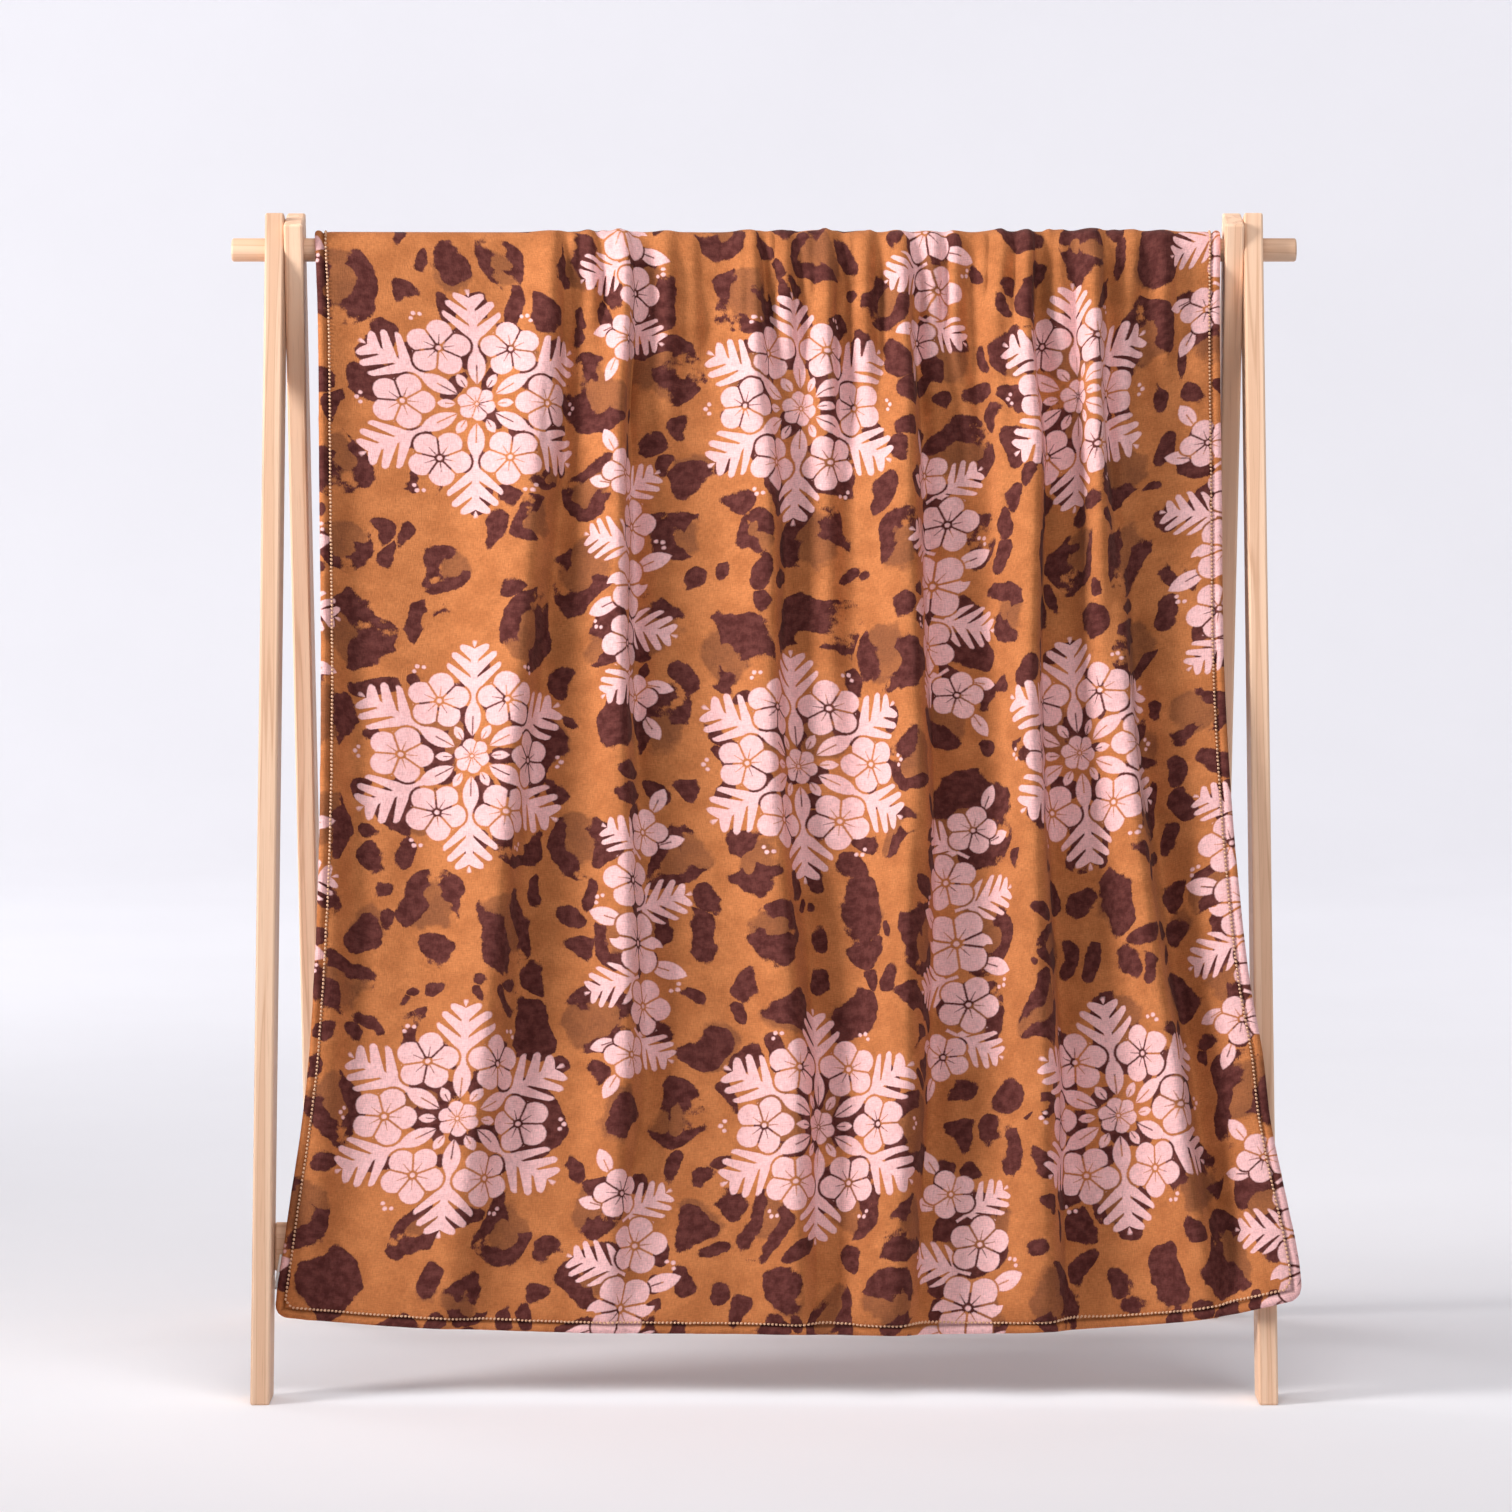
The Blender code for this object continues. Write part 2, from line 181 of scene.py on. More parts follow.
def between(value, low, high):
    """0 below low, 1 above high, and eased in between."""
    node = add_node(value.socket.id_data, "MapRange", {"Value": value, "From Min": low, "From Max": high})
    node.interpolation_type = "SMOOTHSTEP"
    return Field(node.outputs["Result"])


def join(tree, x, y, z=0.0):
    """Three fields as one vector."""
    return add_node(tree, "CombineXYZ", {"X": x, "Y": y, "Z": z}).outputs[0]


def split(tree, vector):
    """The three numbers of a vector."""
    return [Field(socket) for socket in add_node(tree, "SeparateXYZ", {0: vector}).outputs]


def noise(tree, vector, scale, detail=2.0, roughness=0.5):
    """Smooth noise about 0, from about -0.5 to 0.5."""
    inputs = {"Vector": vector, "Scale": scale, "Detail": detail, "Roughness": roughness}
    return Field(add_node(tree, "TexNoise", inputs).outputs["Fac"]) - 0.5


def blend_colours(tree, share, first, second):
    """first where share is 0 and second where it is 1. Each is a colour or a node's colour output."""
    node = add_node(tree, "Mix", {"Factor": share})
    node.data_type = "RGBA"
    for name, colour in (("A", first), ("B", second)):
        place = next(socket for socket in node.inputs if socket.name == name and socket.type == "RGBA")
        feed(tree, (*colour, 1.0) if isinstance(colour, tuple) else colour, place)
    return next(socket for socket in node.outputs if socket.type == "RGBA")


def new_material(name, roughness):
    """A material, its node tree and its Principled shader."""
    made = bpy.data.materials.new(name)
    made.use_nodes = True
    shader = made.node_tree.nodes["Principled BSDF"]
    shader.inputs["Roughness"].default_value = roughness
    return made, made.node_tree, shader


def object_place(tree):
    """The place in the object's own coordinates, in metres."""
    return add_node(tree, "TexCoord", {}).outputs["Object"]


def add_bump(tree, shader, height, distance, strength):
    """Feeds a height field to the shader's normal."""
    bump = add_node(tree, "Bump", {"Strength": strength, "Distance": distance, "Height": height})
    feed(tree, bump.outputs["Normal"], shader.inputs["Normal"])


# %% [markdown]
# ## The print: blossoms, fronds and leaves
#
# The throw is printed with pale pink silhouettes of flowers and leaves. Each motif here is an invented
# one. A blossom folds the angle about its centre into one petal, so that one ellipse draws all five. Thin
# lines of the ground colour part the petals and mark their hearts, as in a stencil. A frond is an ellipse
# cut by slanted gaps, and a leaf is where two circles overlap.


# %% One blossom, one frond, one leaf
def blossom(x, y, size, turn, petals=5):
    """A flower of some petals round (0, 0), size to the petals' tips.

    The angle is folded to the nearest petal's axis. The petal is an ellipse, less a thin gap along the line
    half-way to the next petal, less a thin wedge from the heart, and a dot and a ring make the heart.
    """
    out = length(x, y)
    turns = (calculate("ARCTAN2", y, x) + turn) * (petals / (2 * math.pi))
    angle = abs(turns - nearest_whole(turns)) * (2 * math.pi / petals)
    along, across = from_polar(out, angle)
    stretched_x = (along - 0.58 * size) / (0.42 * size)
    stretched_y = across / (0.40 * size)
    petal = (length(stretched_x, stretched_y) - 1.0) * (0.4 * size)
    half_sector = math.pi / petals
    to_gap = out * calculate("SINE", half_sector - angle)
    gap = 0.035 * size - to_gap
    wedge = (0.030 * size - 0.05 * along) - across
    wedge = smaller(wedge, 0.5 * size - along)
    heart = out - 0.15 * size
    dot = out - 0.08 * size
    return smaller(larger(petal, gap, wedge, -heart), dot)


def frond(x, y, reach, width, leaflets):
    """A feathered leaf from (0, 0) along x: reach long and width to each side.

    An ellipse is its outline. A coordinate that slants outwards counts the leaflets: their tips are pulled
    in between them, and a gap that widens outwards parts them as far as the midrib.
    """
    aside = abs(y)
    stretched = length((x - 0.5 * reach) / (0.5 * reach), y / width)
    outline = (stretched - 1.0) * (0.8 * width)
    pitch = reach / leaflets
    count = (x - aside * 0.9) / pitch
    off_middle = abs(count - nearest_whole(count))
    tips = outline + off_middle * off_middle * (0.9 * width)
    gap = (off_middle - 0.43) * pitch + (aside - 0.12 * width) * 0.16
    gap = smaller(gap, aside - 0.13 * width)
    stem = larger(aside - 0.07 * width, abs(x + 0.03 * reach) - 0.18 * reach)
    return smaller(larger(tips, gap), stem)


def leaf(x, y, reach, width):
    """A pointed leaf from (0, 0) along x, where two circles overlap, with a fine line for its midrib."""
    radius = ((0.5 * reach) ** 2 + width**2) / (2 * width)
    aside = abs(y)
    outline = length(x - 0.5 * reach, aside + (radius - width)) - radius
    midrib = smaller(0.04 * width - aside + 0.0003, 0.55 * reach - x)
    return larger(outline, midrib)


def turned(x, y, angle):
    """The coordinates of the same place for a motif that is turned by angle."""
    c, s = math.cos(angle), math.sin(angle)
    return x * c + y * s, y * c - x * s


# %% [markdown]
# ## Wreaths and sprays
#
# Two motifs repeat on a square grid. A round wreath has six blossoms in a ring, six fronds that fan out
# between them and a small flower with its leaves in the middle. Half a step down and across, a tall spray
# curves like an S: one large blossom, and at each end two smaller ones with fronds, leaves and buds. Both
# are folded before they are drawn: the wreath into one sixth, the spray by a half turn. Every second row
# of sprays is mirrored.

# %% The repeat of the print, in metres on the cloth
REPEAT = 0.335
RING_PITCH = 0.078  # between the leopard's rings
BLOT_PITCH = 0.031
WREATH_RING = 0.0605  # from a wreath's middle to its blossoms'
WREATH_PLACE = (0.128, 0.190)  # of one wreath, from the cloth's left front corner
SPRAY_LEAN = math.radians(5)
SPRAY_GAP = 0.0018  # of ground colour between the blossoms and what lies behind them
# x, y, size, turn
SPRAY_FLOWERS = ((0.0, 0.0, 0.031, 0.5), (0.013, 0.056, 0.0265, 1.2), (-0.007, 0.105, 0.0225, 2.0))
# x, y, degrees, reach, width
SPRAY_FRONDS = ((-0.006, 0.034, 158, 0.048, 0.0205), (0.004, 0.084, 28, 0.045, 0.0190))
SPRAY_LEAVES = (
    (0.020, 0.016, 16, 0.032, 0.0080),
    (-0.016, 0.124, 112, 0.025, 0.0062),
    (-0.020, 0.094, 160, 0.024, 0.0060),
)


def wreath(x, y):
    """Six blossoms, fronds and leaves round a small flower, by folding the angle into one sixth."""
    out = length(x, y)
    turns = calculate("ARCTAN2", y, x) * (6 / (2 * math.pi))

    def folded(count):
        angle = (count - nearest_whole(count)) * (2 * math.pi / 6)
        return from_polar(out, angle)

    on_axis_x, on_axis_y = folded(turns)
    between_x, between_y = folded(turns + 0.5)
    blossoms = blossom(on_axis_x - WREATH_RING, on_axis_y, 0.0265, turn=math.pi)
    fronds = frond(between_x - 0.050, between_y, 0.059, 0.0250, leaflets=4)
    parted = larger(fronds, 0.0022 - blossoms)
    return smaller(
        blossoms,
        parted,
        leaf(between_x - 0.019, between_y, 0.034, 0.0074),
        leaf(on_axis_x - 0.018, on_axis_y, 0.0145, 0.0040),
        bud(on_axis_x - 0.094, on_axis_y),
        blossom(x, y, 0.0165, turn=0.3, petals=6),
    )


def bud(x, y):
    """Three dots in a fan, as on a stamen's tip, by folding sideways."""
    aside = abs(y)
    middle = length(x - 0.003, y) - 0.0019
    side = length(x, aside - 0.0044) - 0.0017
    return smaller(middle, side)


def spray(x, y):
    """A large blossom, and at each end two smaller ones, two fronds and leaves, folded by a half turn."""
    side = calculate("SIGN", y)
    x, y = x * side, y * side

    def at(place_x, place_y, degrees):
        return turned(x - place_x, y - place_y, math.radians(degrees))

    flowers = smaller(*(blossom(x - fx, y - fy, size, turn) for fx, fy, size, turn in SPRAY_FLOWERS))
    greens = smaller(
        *(frond(*at(*row[:3]), *row[3:], leaflets=4) for row in SPRAY_FRONDS),
        *(leaf(*at(*row[:3]), *row[3:]) for row in SPRAY_LEAVES),
        bud(*at(0.042, 0.036, 40)),
    )
    return smaller(flowers, larger(greens, SPRAY_GAP - flowers))


def floral_print(across, along):
    """Distance to the pink print at a place on the cloth."""
    step_x = (across - WREATH_PLACE[0]) / REPEAT
    step_y = (along - WREATH_PLACE[1]) / REPEAT
    wreath_x = (step_x - nearest_whole(step_x)) * REPEAT
    wreath_y = (step_y - nearest_whole(step_y)) * REPEAT
    half_x, half_y = step_x + 0.5, step_y + 0.5
    row = nearest_whole(half_y)
    mirror = calculate("COSINE", row * math.pi)
    spray_x = (half_x - nearest_whole(half_x)) * REPEAT * mirror
    spray_y = (half_y - row) * REPEAT
    return smaller(wreath(wreath_x, wreath_y), spray(*turned(spray_x, spray_y, SPRAY_LEAN)))


# %% [markdown]
# ## The leopard ground
#
# Leopard spots are broken rings. The cells of a Voronoi texture scatter them. A second Voronoi texture,
# read at a cell's middle, gives the room that the cell has, so that each ring is as large as its
# neighbours allow. The angle from the middle opens one or two gaps in it, and noise that moves the place
# before it is read makes the outline as ragged as brushed dye. Rings are filled with a browner shade, and
# small blots lie where a third texture's cells are clear of every ring.


# %% Spots
RING_SPREAD = 0.62  # how far the rings stray from an even grid
BLOT_SPREAD = 0.80
SOLID_ABOVE = 0.76  # a ring whose random number is above this is a solid blot


def blot_reach(room, number):
    """A solid blot's radius in its room."""
    return room * (0.54 + 0.28 * number)


def voronoi(tree, vector, scale, randomness, feature="F1"):
    """A Voronoi texture node in two dimensions."""
    node = tree.nodes.new("ShaderNodeTexVoronoi")
    node.feature = feature
    node.voronoi_dimensions = "2D"
    return feed_all(tree, node, {"Scale": scale, "Randomness": randomness, "Vector": vector})


def scattered(tree, vector, pitch, randomness):
    """Cells about a pitch apart: the place from the cell's middle, its room and three random numbers.

    The room is half the way to the nearest neighbour, in metres. The middle itself comes last.
    """
    cells = voronoi(tree, vector, 1 / pitch, randomness)
    middle = cells.outputs["Position"]
    borders = voronoi(tree, middle, 1 / pitch, randomness, "DISTANCE_TO_EDGE")
    x, y, _ = split(tree, vector)
    middle_x, middle_y, _ = split(tree, middle)
    room = Field(borders.outputs["Distance"]) * pitch
    return x - middle_x, y - middle_y, room, split(tree, cells.outputs["Color"]), middle


def leopard(tree, place, across, along):
    """Distances to the dark spots and to the brown shade inside the rings."""
    wobble_x = noise(tree, place, 24.0, 0.0) * 0.036
    wobble_y = noise(tree, join(tree, across + 3.0, along + 7.0), 24.0, 0.0) * 0.036
    ragged = noise(tree, place, 100.0, 1.5, 0.55) * 0.0080
    ragged = ragged + noise(tree, join(tree, across, along * 0.45), 1000.0, 1.0) * 0.0024
    moved = join(tree, across + wobble_x, (along + wobble_y) * 0.90)
    x, y, room, (first, second, third), _ = scattered(tree, moved, RING_PITCH, RING_SPREAD)
    out = length(x * (0.88 + 0.24 * third), y * (1.10 - 0.24 * third))
    angle = calculate("ARCTAN2", y, x)
    ring = abs(out - room * 0.62) - room * (0.24 + 0.10 * second)
    turn = second * 6.283
    first_gap = calculate("COSINE", angle - turn) - (0.50 + third * 0.42)
    second_gap = calculate("COSINE", angle - turn - (1.8 + third * 1.8)) - (0.86 + first * 0.24)
    gaps = calculate("MAXIMUM", first_gap, second_gap) * 0.020
    blot = out - blot_reach(room, third)
    is_blot = calculate("GREATER_THAN", first, SOLID_ABOVE)
    spots = larger(ring, gaps) * (1.0 - is_blot) + blot * is_blot
    shade_x, shade_y = from_polar(0.006, turn)
    shade = length(x - shade_x, y - shade_y)
    shade = larger(shade - room * 0.66 + ragged * 1.6, 0.10 - third)
    small_x, small_y, small_room, (size, skew, _), small_middle = scattered(
        tree, moved, BLOT_PITCH, BLOT_SPREAD
    )
    near_x, near_y, near_room, (near_first, _, near_third), _ = scattered(
        tree, small_middle, RING_PITCH, RING_SPREAD
    )
    radius = calculate("MINIMUM", small_room * 0.92, 0.0082 + 0.0062 * size)
    small = length(small_x * (0.80 + 0.5 * skew), small_y * (1.10 - 0.45 * skew)) - radius
    near_blot = calculate("GREATER_THAN", near_first, SOLID_ABOVE)
    reach = near_room * 0.94 * (1.0 - near_blot) + blot_reach(near_room, near_third) * near_blot
    crowded = calculate("LESS_THAN", length(near_x, near_y), reach + radius * 0.80 + 0.002)
    return smaller(spots, small + crowded) + ragged, shade


# %% [markdown]
# ## Minky
#
# Minky is a polyester knit with a short dense pile, brushed one way. Dye sits on the pile's tips, so the
# print has slightly soft edges and a fine fleck from the knit below. The pile gives a soft sheen at
# grazing angles and no gloss. The place on the flat cloth is kept in an attribute, in metres, so that the
# print runs through every fold as it does on real cloth.

# %% The cloth's size, and its colours (linear)
BLANKET_WIDTH = 0.960
BLANKET_LENGTH = 1.480
STITCH_IN = 0.0100  # from the edge to the line of stitching
CREASE_IN = 0.0080  # from the edge to the crease beside it
CARAMEL = (0.50, 0.178, 0.062)
DEEP_CARAMEL = (0.33, 0.104, 0.033)
PATCH_BROWN = (0.240, 0.084, 0.036)
SPOT_PLUM = (0.070, 0.017, 0.015)
SPOT_WORN = (0.135, 0.040, 0.034)
PINK = (0.80, 0.480, 0.480)
PINK_WORN = (0.72, 0.388, 0.380)


def minky_material():
    made, tree, shader = new_material("printed minky", roughness=0.88)
    node = tree.nodes.new("ShaderNodeAttribute")
    node.attribute_type = "GEOMETRY"
    node.attribute_name = "cloth_place"
    place = node.outputs["Vector"]
    across, along, _ = split(tree, place)
    # a fine wander keeps the outlines from being ruled
    wander = noise(tree, place, 500.0, 1.0) * 0.0010
    spots, shade = leopard(tree, place, across, along)
    pink = floral_print(across, along) + wander
    cloud = between(noise(tree, place, 34.0, 3.0, 0.6), -0.16, 0.16)
    fine_cloud = between(noise(tree, place, 130.0, 2.0, 0.6), -0.18, 0.18)
    warp = noise(tree, join(tree, across, along * 0.18), 1100.0, 1.0)
    weft = noise(tree, join(tree, across * 0.18, along), 1100.0, 1.0)
    fleck = warp + weft
    colour = blend_colours(tree, cloud * 0.55, CARAMEL, DEEP_CARAMEL)
    colour = blend_colours(tree, inside(shade, 0.004) * (0.72 + 0.25 * cloud), colour, PATCH_BROWN)
    dark = blend_colours(tree, fine_cloud * 0.8, SPOT_PLUM, SPOT_WORN)
    colour = blend_colours(tree, inside(spots, 0.0012), colour, dark)
    petals = blend_colours(tree, fine_cloud * 0.45, PINK, PINK_WORN)
    colour = blend_colours(tree, inside(pink, 0.0011), colour, petals)
    # painted shade: the colour is darkened in the crease beside the stitching
    to_edge = smaller(across, BLANKET_WIDTH - across, along, BLANKET_LENGTH - along)
    off_crease = (to_edge - CREASE_IN) / 0.0016
    crease_shade = calculate("EXPONENT", -(off_crease * off_crease))
    shaded = add_node(tree, "VectorMath", {0: colour})
    shaded.operation = "SCALE"
    feed(tree, (1.0 + fleck * 0.55) * (1.0 - crease_shade * 0.5), shaded.inputs["Scale"])
    feed_all(tree, shader, {
        "Base Color": shaded.outputs[0],
        "Sheen Weight": 0.05,
        "Sheen Roughness": 0.45,
        "Sheen Tint": (1.0, 0.76, 0.66, 1.0),
        "Specular IOR Level": 0.08,
    })
    add_bump(tree, shader, fleck + fine_cloud * 0.25, 0.0006, 0.55)
    return made


minky = minky_material()
print("minky nodes:", len(minky.node_tree.nodes))

# %% [markdown]
# ## How the cloth hangs
#
# The CAD solid hangs by the same rules as here: long folds from the rod to the hem, short pleats gathered
# on the rod, the two edges and the drop. Here the long folds are steeper, and the side edges and the press
# on the rod differ a little. A row of the cloth keeps its width, because the folds' slopes are set first
# and the place is added up along them. The formula is read on a much finer grid, and small creases are
# added that a CAD solid has no faces for.

# %% The hang, in metres
CLOTH = 0.004  # thickness of both layers
ROD_RADIUS = 0.011
ROD_CLEARANCE = 0.001  # between the rod and the cloth
CLOTH_CLEARANCE = 0.002  # between the stretcher's edge and the cloth
FOOT_REACH = 0.248  # from below the rod to where a leg's middle line meets the floor
STRETCHER_HEIGHT = 0.045
STRETCHER_THICKNESS = 0.014
STRETCHER_MIDDLE = 0.138  # height of the stretchers on the legs' middle lines
LEG_DEPTH = 0.050
HANG = math.radians(3)  # off plumb, below the stretcher
HANG_LENGTH = 0.09  # over which the cloth turns to that

EDGES = {
    "share": (0, 0.05, 0.25, 0.45, 0.62, 0.72, 0.78, 0.84, 0.90, 0.95, 0.975, 1),
    "left": (-0.422, -0.419, -0.414, -0.41, -0.411, -0.415, -0.419, -0.426, -0.435, -0.442, -0.446, -0.4485),
    "right": (0.4285, 0.427, 0.426, 0.426, 0.435, 0.445, 0.455, 0.461, 0.472, 0.482, 0.486, 0.488),
}
DROP = {
    "across": (0.00, 0.08, 0.22, 0.50, 0.62, 0.78, 0.90, 1.00),
    "length": (1.019, 1.026, 1.032, 1.035, 1.035, 1.030, 1.020, 1.002),
}
MIDDLE_DROP = DROP["length"][3]  # half-way across
FOLD_PLACES = (0.00, 0.22, 0.53, 0.83, 1.00)  # shares of the long drop
LONG_FOLDS = (
    # crest at each place, height at each place, flanks at the rod, flanks below
    ((0.004, 0.006, 0.008, 0.022, 0.026), (0, 0.01, 0.018, 0.022, 0.014), (0.012, 0.012), (0.03, 0.019)),
    ((0.222, 0.206, 0.184, 0.162, 0.152), (0.01, 0.030, 0.042, 0.027, 0.012), (0.018, 0.010), (0.056, 0.019)),
    ((0.298, 0.296, 0.308, 0.310, 0.308), (0.01, 0.02, 0.018, 0.011, 0.006), (0.016, 0.009), (0.036, 0.012)),
    ((0.432, 0.447, 0.452, 0.481, 0.487), (0.017, 0.025, 0.018, 0.017, 0.01), (0.018, 0.011), (0.040, 0.015)),
    ((0.596, 0.600, 0.609, 0.588, 0.579), (0.012, 0.036, 0.052, 0.036, 0.018), (0.014, 0.009), (0.050, 0.018)),
    ((0.742, 0.742, 0.744, 0.731, 0.718), (0.02, 0.055, 0.058, 0.038, 0.018), (0.014, 0.009), (0.046, 0.018)),
    ((0.869, 0.855, 0.855, 0.866, 0.867), (0.014, 0.025, 0.038, 0.036, 0.016), (0.018, 0.010), (0.040, 0.017)),
    ((0.97, 0.97, 0.968, 0.956, 0.946), (0, 0.011, 0.032, 0.06, 0.068), (0.06, 0.02), (0.07, 0.05)),
)
WIDENED_BY = 0.25  # share of the drop at which the long folds' lower flanks are reached
SHORT_PLEATS = (
    # crest at the rod, crest where it ends, height, left flank, right flank, deepest at, gone at
    (0.259, 0.264, 0.009, 0.012, 0.010, 0.03, 0.18),
    (0.346, 0.350, 0.017, 0.014, 0.012, 0.05, 0.26),
    (0.471, 0.476, 0.020, 0.014, 0.012, 0.05, 0.24),
    (0.511, 0.516, 0.018, 0.018, 0.015, 0.25, 0.66),
    (0.556, 0.557, 0.013, 0.014, 0.012, 0.06, 0.34),
    (0.630, 0.638, 0.013, 0.012, 0.011, 0.06, 0.36),
    (0.662, 0.670, 0.012, 0.011, 0.010, 0.08, 0.42),
    (0.706, 0.708, 0.024, 0.018, 0.013, 0.06, 0.50),
    (0.782, 0.786, 0.017, 0.012, 0.010, 0.03, 0.22),
    (0.822, 0.834, 0.034, 0.022, 0.014, 0.16, 0.62),
    (0.903, 0.906, 0.014, 0.014, 0.012, 0.04, 0.22),
)
ON_THE_ROD = 0.7  # of its height that a short pleat has on the rod
STEEPEST = 1.35  # slope of a fold, in radians
PRESSED = 0.20  # of their height that all folds keep on the rod
PRESSED_LENGTH = 0.05  # over which they regain it
FINE_COLUMNS = 961  # places across at which a row is added up
FACTOR_STEPS = 24  # halvings in the search for a row's factor


# %% The hang line and the folds
def smooth_through(x, places, values):
    """A smooth curve through (place, value) pairs: cubic pieces, with slopes taken from the neighbours."""
    places = np.asarray(places, float)
    values = np.asarray(values, float)
    slopes = np.gradient(values, places)
    x = np.clip(x, places[0], places[-1])
    i = np.clip(np.searchsorted(places, x) - 1, 0, len(places) - 2)
    step = places[i + 1] - places[i]
    t = (x - places[i]) / step
    return (
        values[i] * (1 + 2 * t) * (1 - t) ** 2
        + slopes[i] * step * t * (1 - t) ** 2
        + values[i + 1] * t**2 * (3 - 2 * t)
        + slopes[i + 1] * step * t**2 * (t - 1)
    )


def ease(t):
    """From 0 to 1, level at both ends."""
    t = np.clip(t, 0, 1)
    return t * t * (3 - 2 * t)


def eased_in(x, start, reach):
    """0 up to a start, 1 from a reach beyond it, and eased in between."""
    return ease((x - start) / reach)


def hang_line():
    """The line that the cloth's valleys follow, seen from the side, as arrays along it.

    It turns round the rod, leans straight down to clear the stretcher's lower front edge, and hangs loose
    below that. Behind the rod it hangs straight down. Its angle is set first and its place is the sum.
    """
    turn = ROD_RADIUS + ROD_CLEARANCE + CLOTH / 2
    slope = math.atan2(FOOT_REACH, ROD_HEIGHT)
    inwards = (LEG_DEPTH - STRETCHER_THICKNESS) / 2
    middle_y = -FOOT_REACH * (1 - STRETCHER_MIDDLE / ROD_HEIGHT) + inwards * math.cos(slope)
    middle_z = STRETCHER_MIDDLE - inwards * math.sin(slope)
    half_thick, half_tall = STRETCHER_THICKNESS / 2, STRETCHER_HEIGHT / 2
    edge_y = middle_y - half_thick * math.cos(slope) - half_tall * math.sin(slope)
    edge_z = middle_z + half_thick * math.sin(slope) - half_tall * math.cos(slope)
    down, out = ROD_HEIGHT - edge_z, -edge_y
    far = math.hypot(down, out)
    lean = math.atan2(out, down) - math.asin((turn - CLOTH_CLEARANCE - CLOTH / 2) / far)
    along = np.linspace(-0.60, 1.10, 3401)
    angle = np.clip(along / turn, -math.pi / 2, math.pi / 2 - lean)
    angle = angle + eased_in(along, far, HANG_LENGTH) * (lean - HANG)
    step = along[1] - along[0]
    y = -np.cumsum(np.cos(angle)) * step
    z = -np.cumsum(np.sin(angle)) * step
    top = np.searchsorted(along, 0.0)
    return along, y - y[top] + ROD_Y, z - z[top] + ROD_HEIGHT + turn, angle


def fold_rows(below):
    """Crest, height, left flank and right flank of every fold, at each share of the long drop."""
    widen = ease(below / WIDENED_BY)
    for crests, heights, at_rod, lower in LONG_FOLDS:
        left, right = (start + (end - start) * widen for start, end in zip(at_rod, lower))
        crest = smooth_through(below, FOLD_PLACES, crests)
        yield crest, smooth_through(below, FOLD_PLACES, heights), left, right
    for start, end, height, left, right, deepest, gone in SHORT_PLEATS:
        grown = ON_THE_ROD + (1 - ON_THE_ROD) * ease(below / deepest)
        fade = 1 - eased_in(below, deepest, gone - deepest)
        yield start + (end - start) * np.clip(below / gone, 0, 1), height * grown * fade, left, right


def folds(flat, below):
    """The height and the slope of all folds together. Each is a bell curve whose two flanks differ."""
    height = slope = 0
    for crest, tall, left, right in fold_rows(below):
        away = flat - crest
        reach = np.where(away < 0, left, right)
        bell = tall * np.exp(-((away / reach) ** 2))
        height = height + bell
        slope = slope - 2 * away / reach**2 * bell
    return height, slope


def running_sum(values, step):
    """The area under each row of values, up to each place along it."""
    steps = (values[:, 1:] + values[:, :-1]) * step / 2
    return np.concatenate([np.zeros((len(values), 1)), np.cumsum(steps, axis=1)], axis=1)


def drop_at(flat):
    """The length of cloth in front of the rod's top at each place across."""
    return smooth_through(flat / BLANKET_WIDTH, DROP["across"], DROP["length"])


def share_at(along, drop):
    """The share at lengths along the cloth: 1 at the front hem, 0 on top of the rod, -1 at the back hem."""
    return np.where(along <= drop, 1 - along / drop, -(along - drop) / (BLANKET_LENGTH - drop))


# %% The middle of the cloth
def cloth_middle(flat, share):
    """Points of the middle of the cloth, for places across (m) and shares down, as a grid of rows.

    Each row is a line of the cloth's real width: it runs along X by the cosine of the folds' slope and off
    the hang line by the sine. One factor for each row scales its folds until both edges are in place.
    """
    fine = np.linspace(0, BLANKET_WIDTH, FINE_COLUMNS)
    rows = share[:, None]
    below = np.where(rows < 0, -rows * (BLANKET_LENGTH - MIDDLE_DROP) / MIDDLE_DROP, rows)
    height, slopes = folds(fine, below)
    left = smooth_through(below, EDGES["share"], EDGES["left"])
    width = smooth_through(below, EDGES["share"], EDGES["right"]) - left
    low, high = np.zeros_like(rows), np.full_like(rows, 2.0)
    for _ in range(FACTOR_STEPS):
        factor = (low + high) / 2
        leaned = STEEPEST * np.tanh(factor * slopes / STEEPEST)
        too_wide = np.cos(leaned).mean(axis=1, keepdims=True) * BLANKET_WIDTH > width
        low = np.where(too_wide, factor, low)
        high = np.where(too_wide, high, factor)
    x = running_sum(np.cos(leaned), fine[1])
    x = left + x * width / x[:, -1:]
    off = running_sum(np.sin(leaned), fine[1]) + height[:, :1]
    off = off - (off[:, -1:] - height[:, -1:]) * fine / BLANKET_WIDTH
    off = off - off.min(axis=1, keepdims=True)
    x = np.array([np.interp(flat, fine, line) for line in x])
    off = np.array([np.interp(flat, fine, line) for line in off])
    reach = np.where(rows >= 0, rows * drop_at(flat), rows * (BLANKET_LENGTH - drop_at(flat)))
    off = off * (PRESSED + (1 - PRESSED) * ease(np.abs(reach) / PRESSED_LENGTH))
    along, line_y, line_z, angle = hang_line()
    tilt = np.interp(reach, along, angle)
    y = np.interp(reach, along, line_y) - np.sin(tilt) * off
    z = np.interp(reach, along, line_z) + np.cos(tilt) * off
    return np.stack([x, y, z], axis=-1), drop_at(flat) - reach


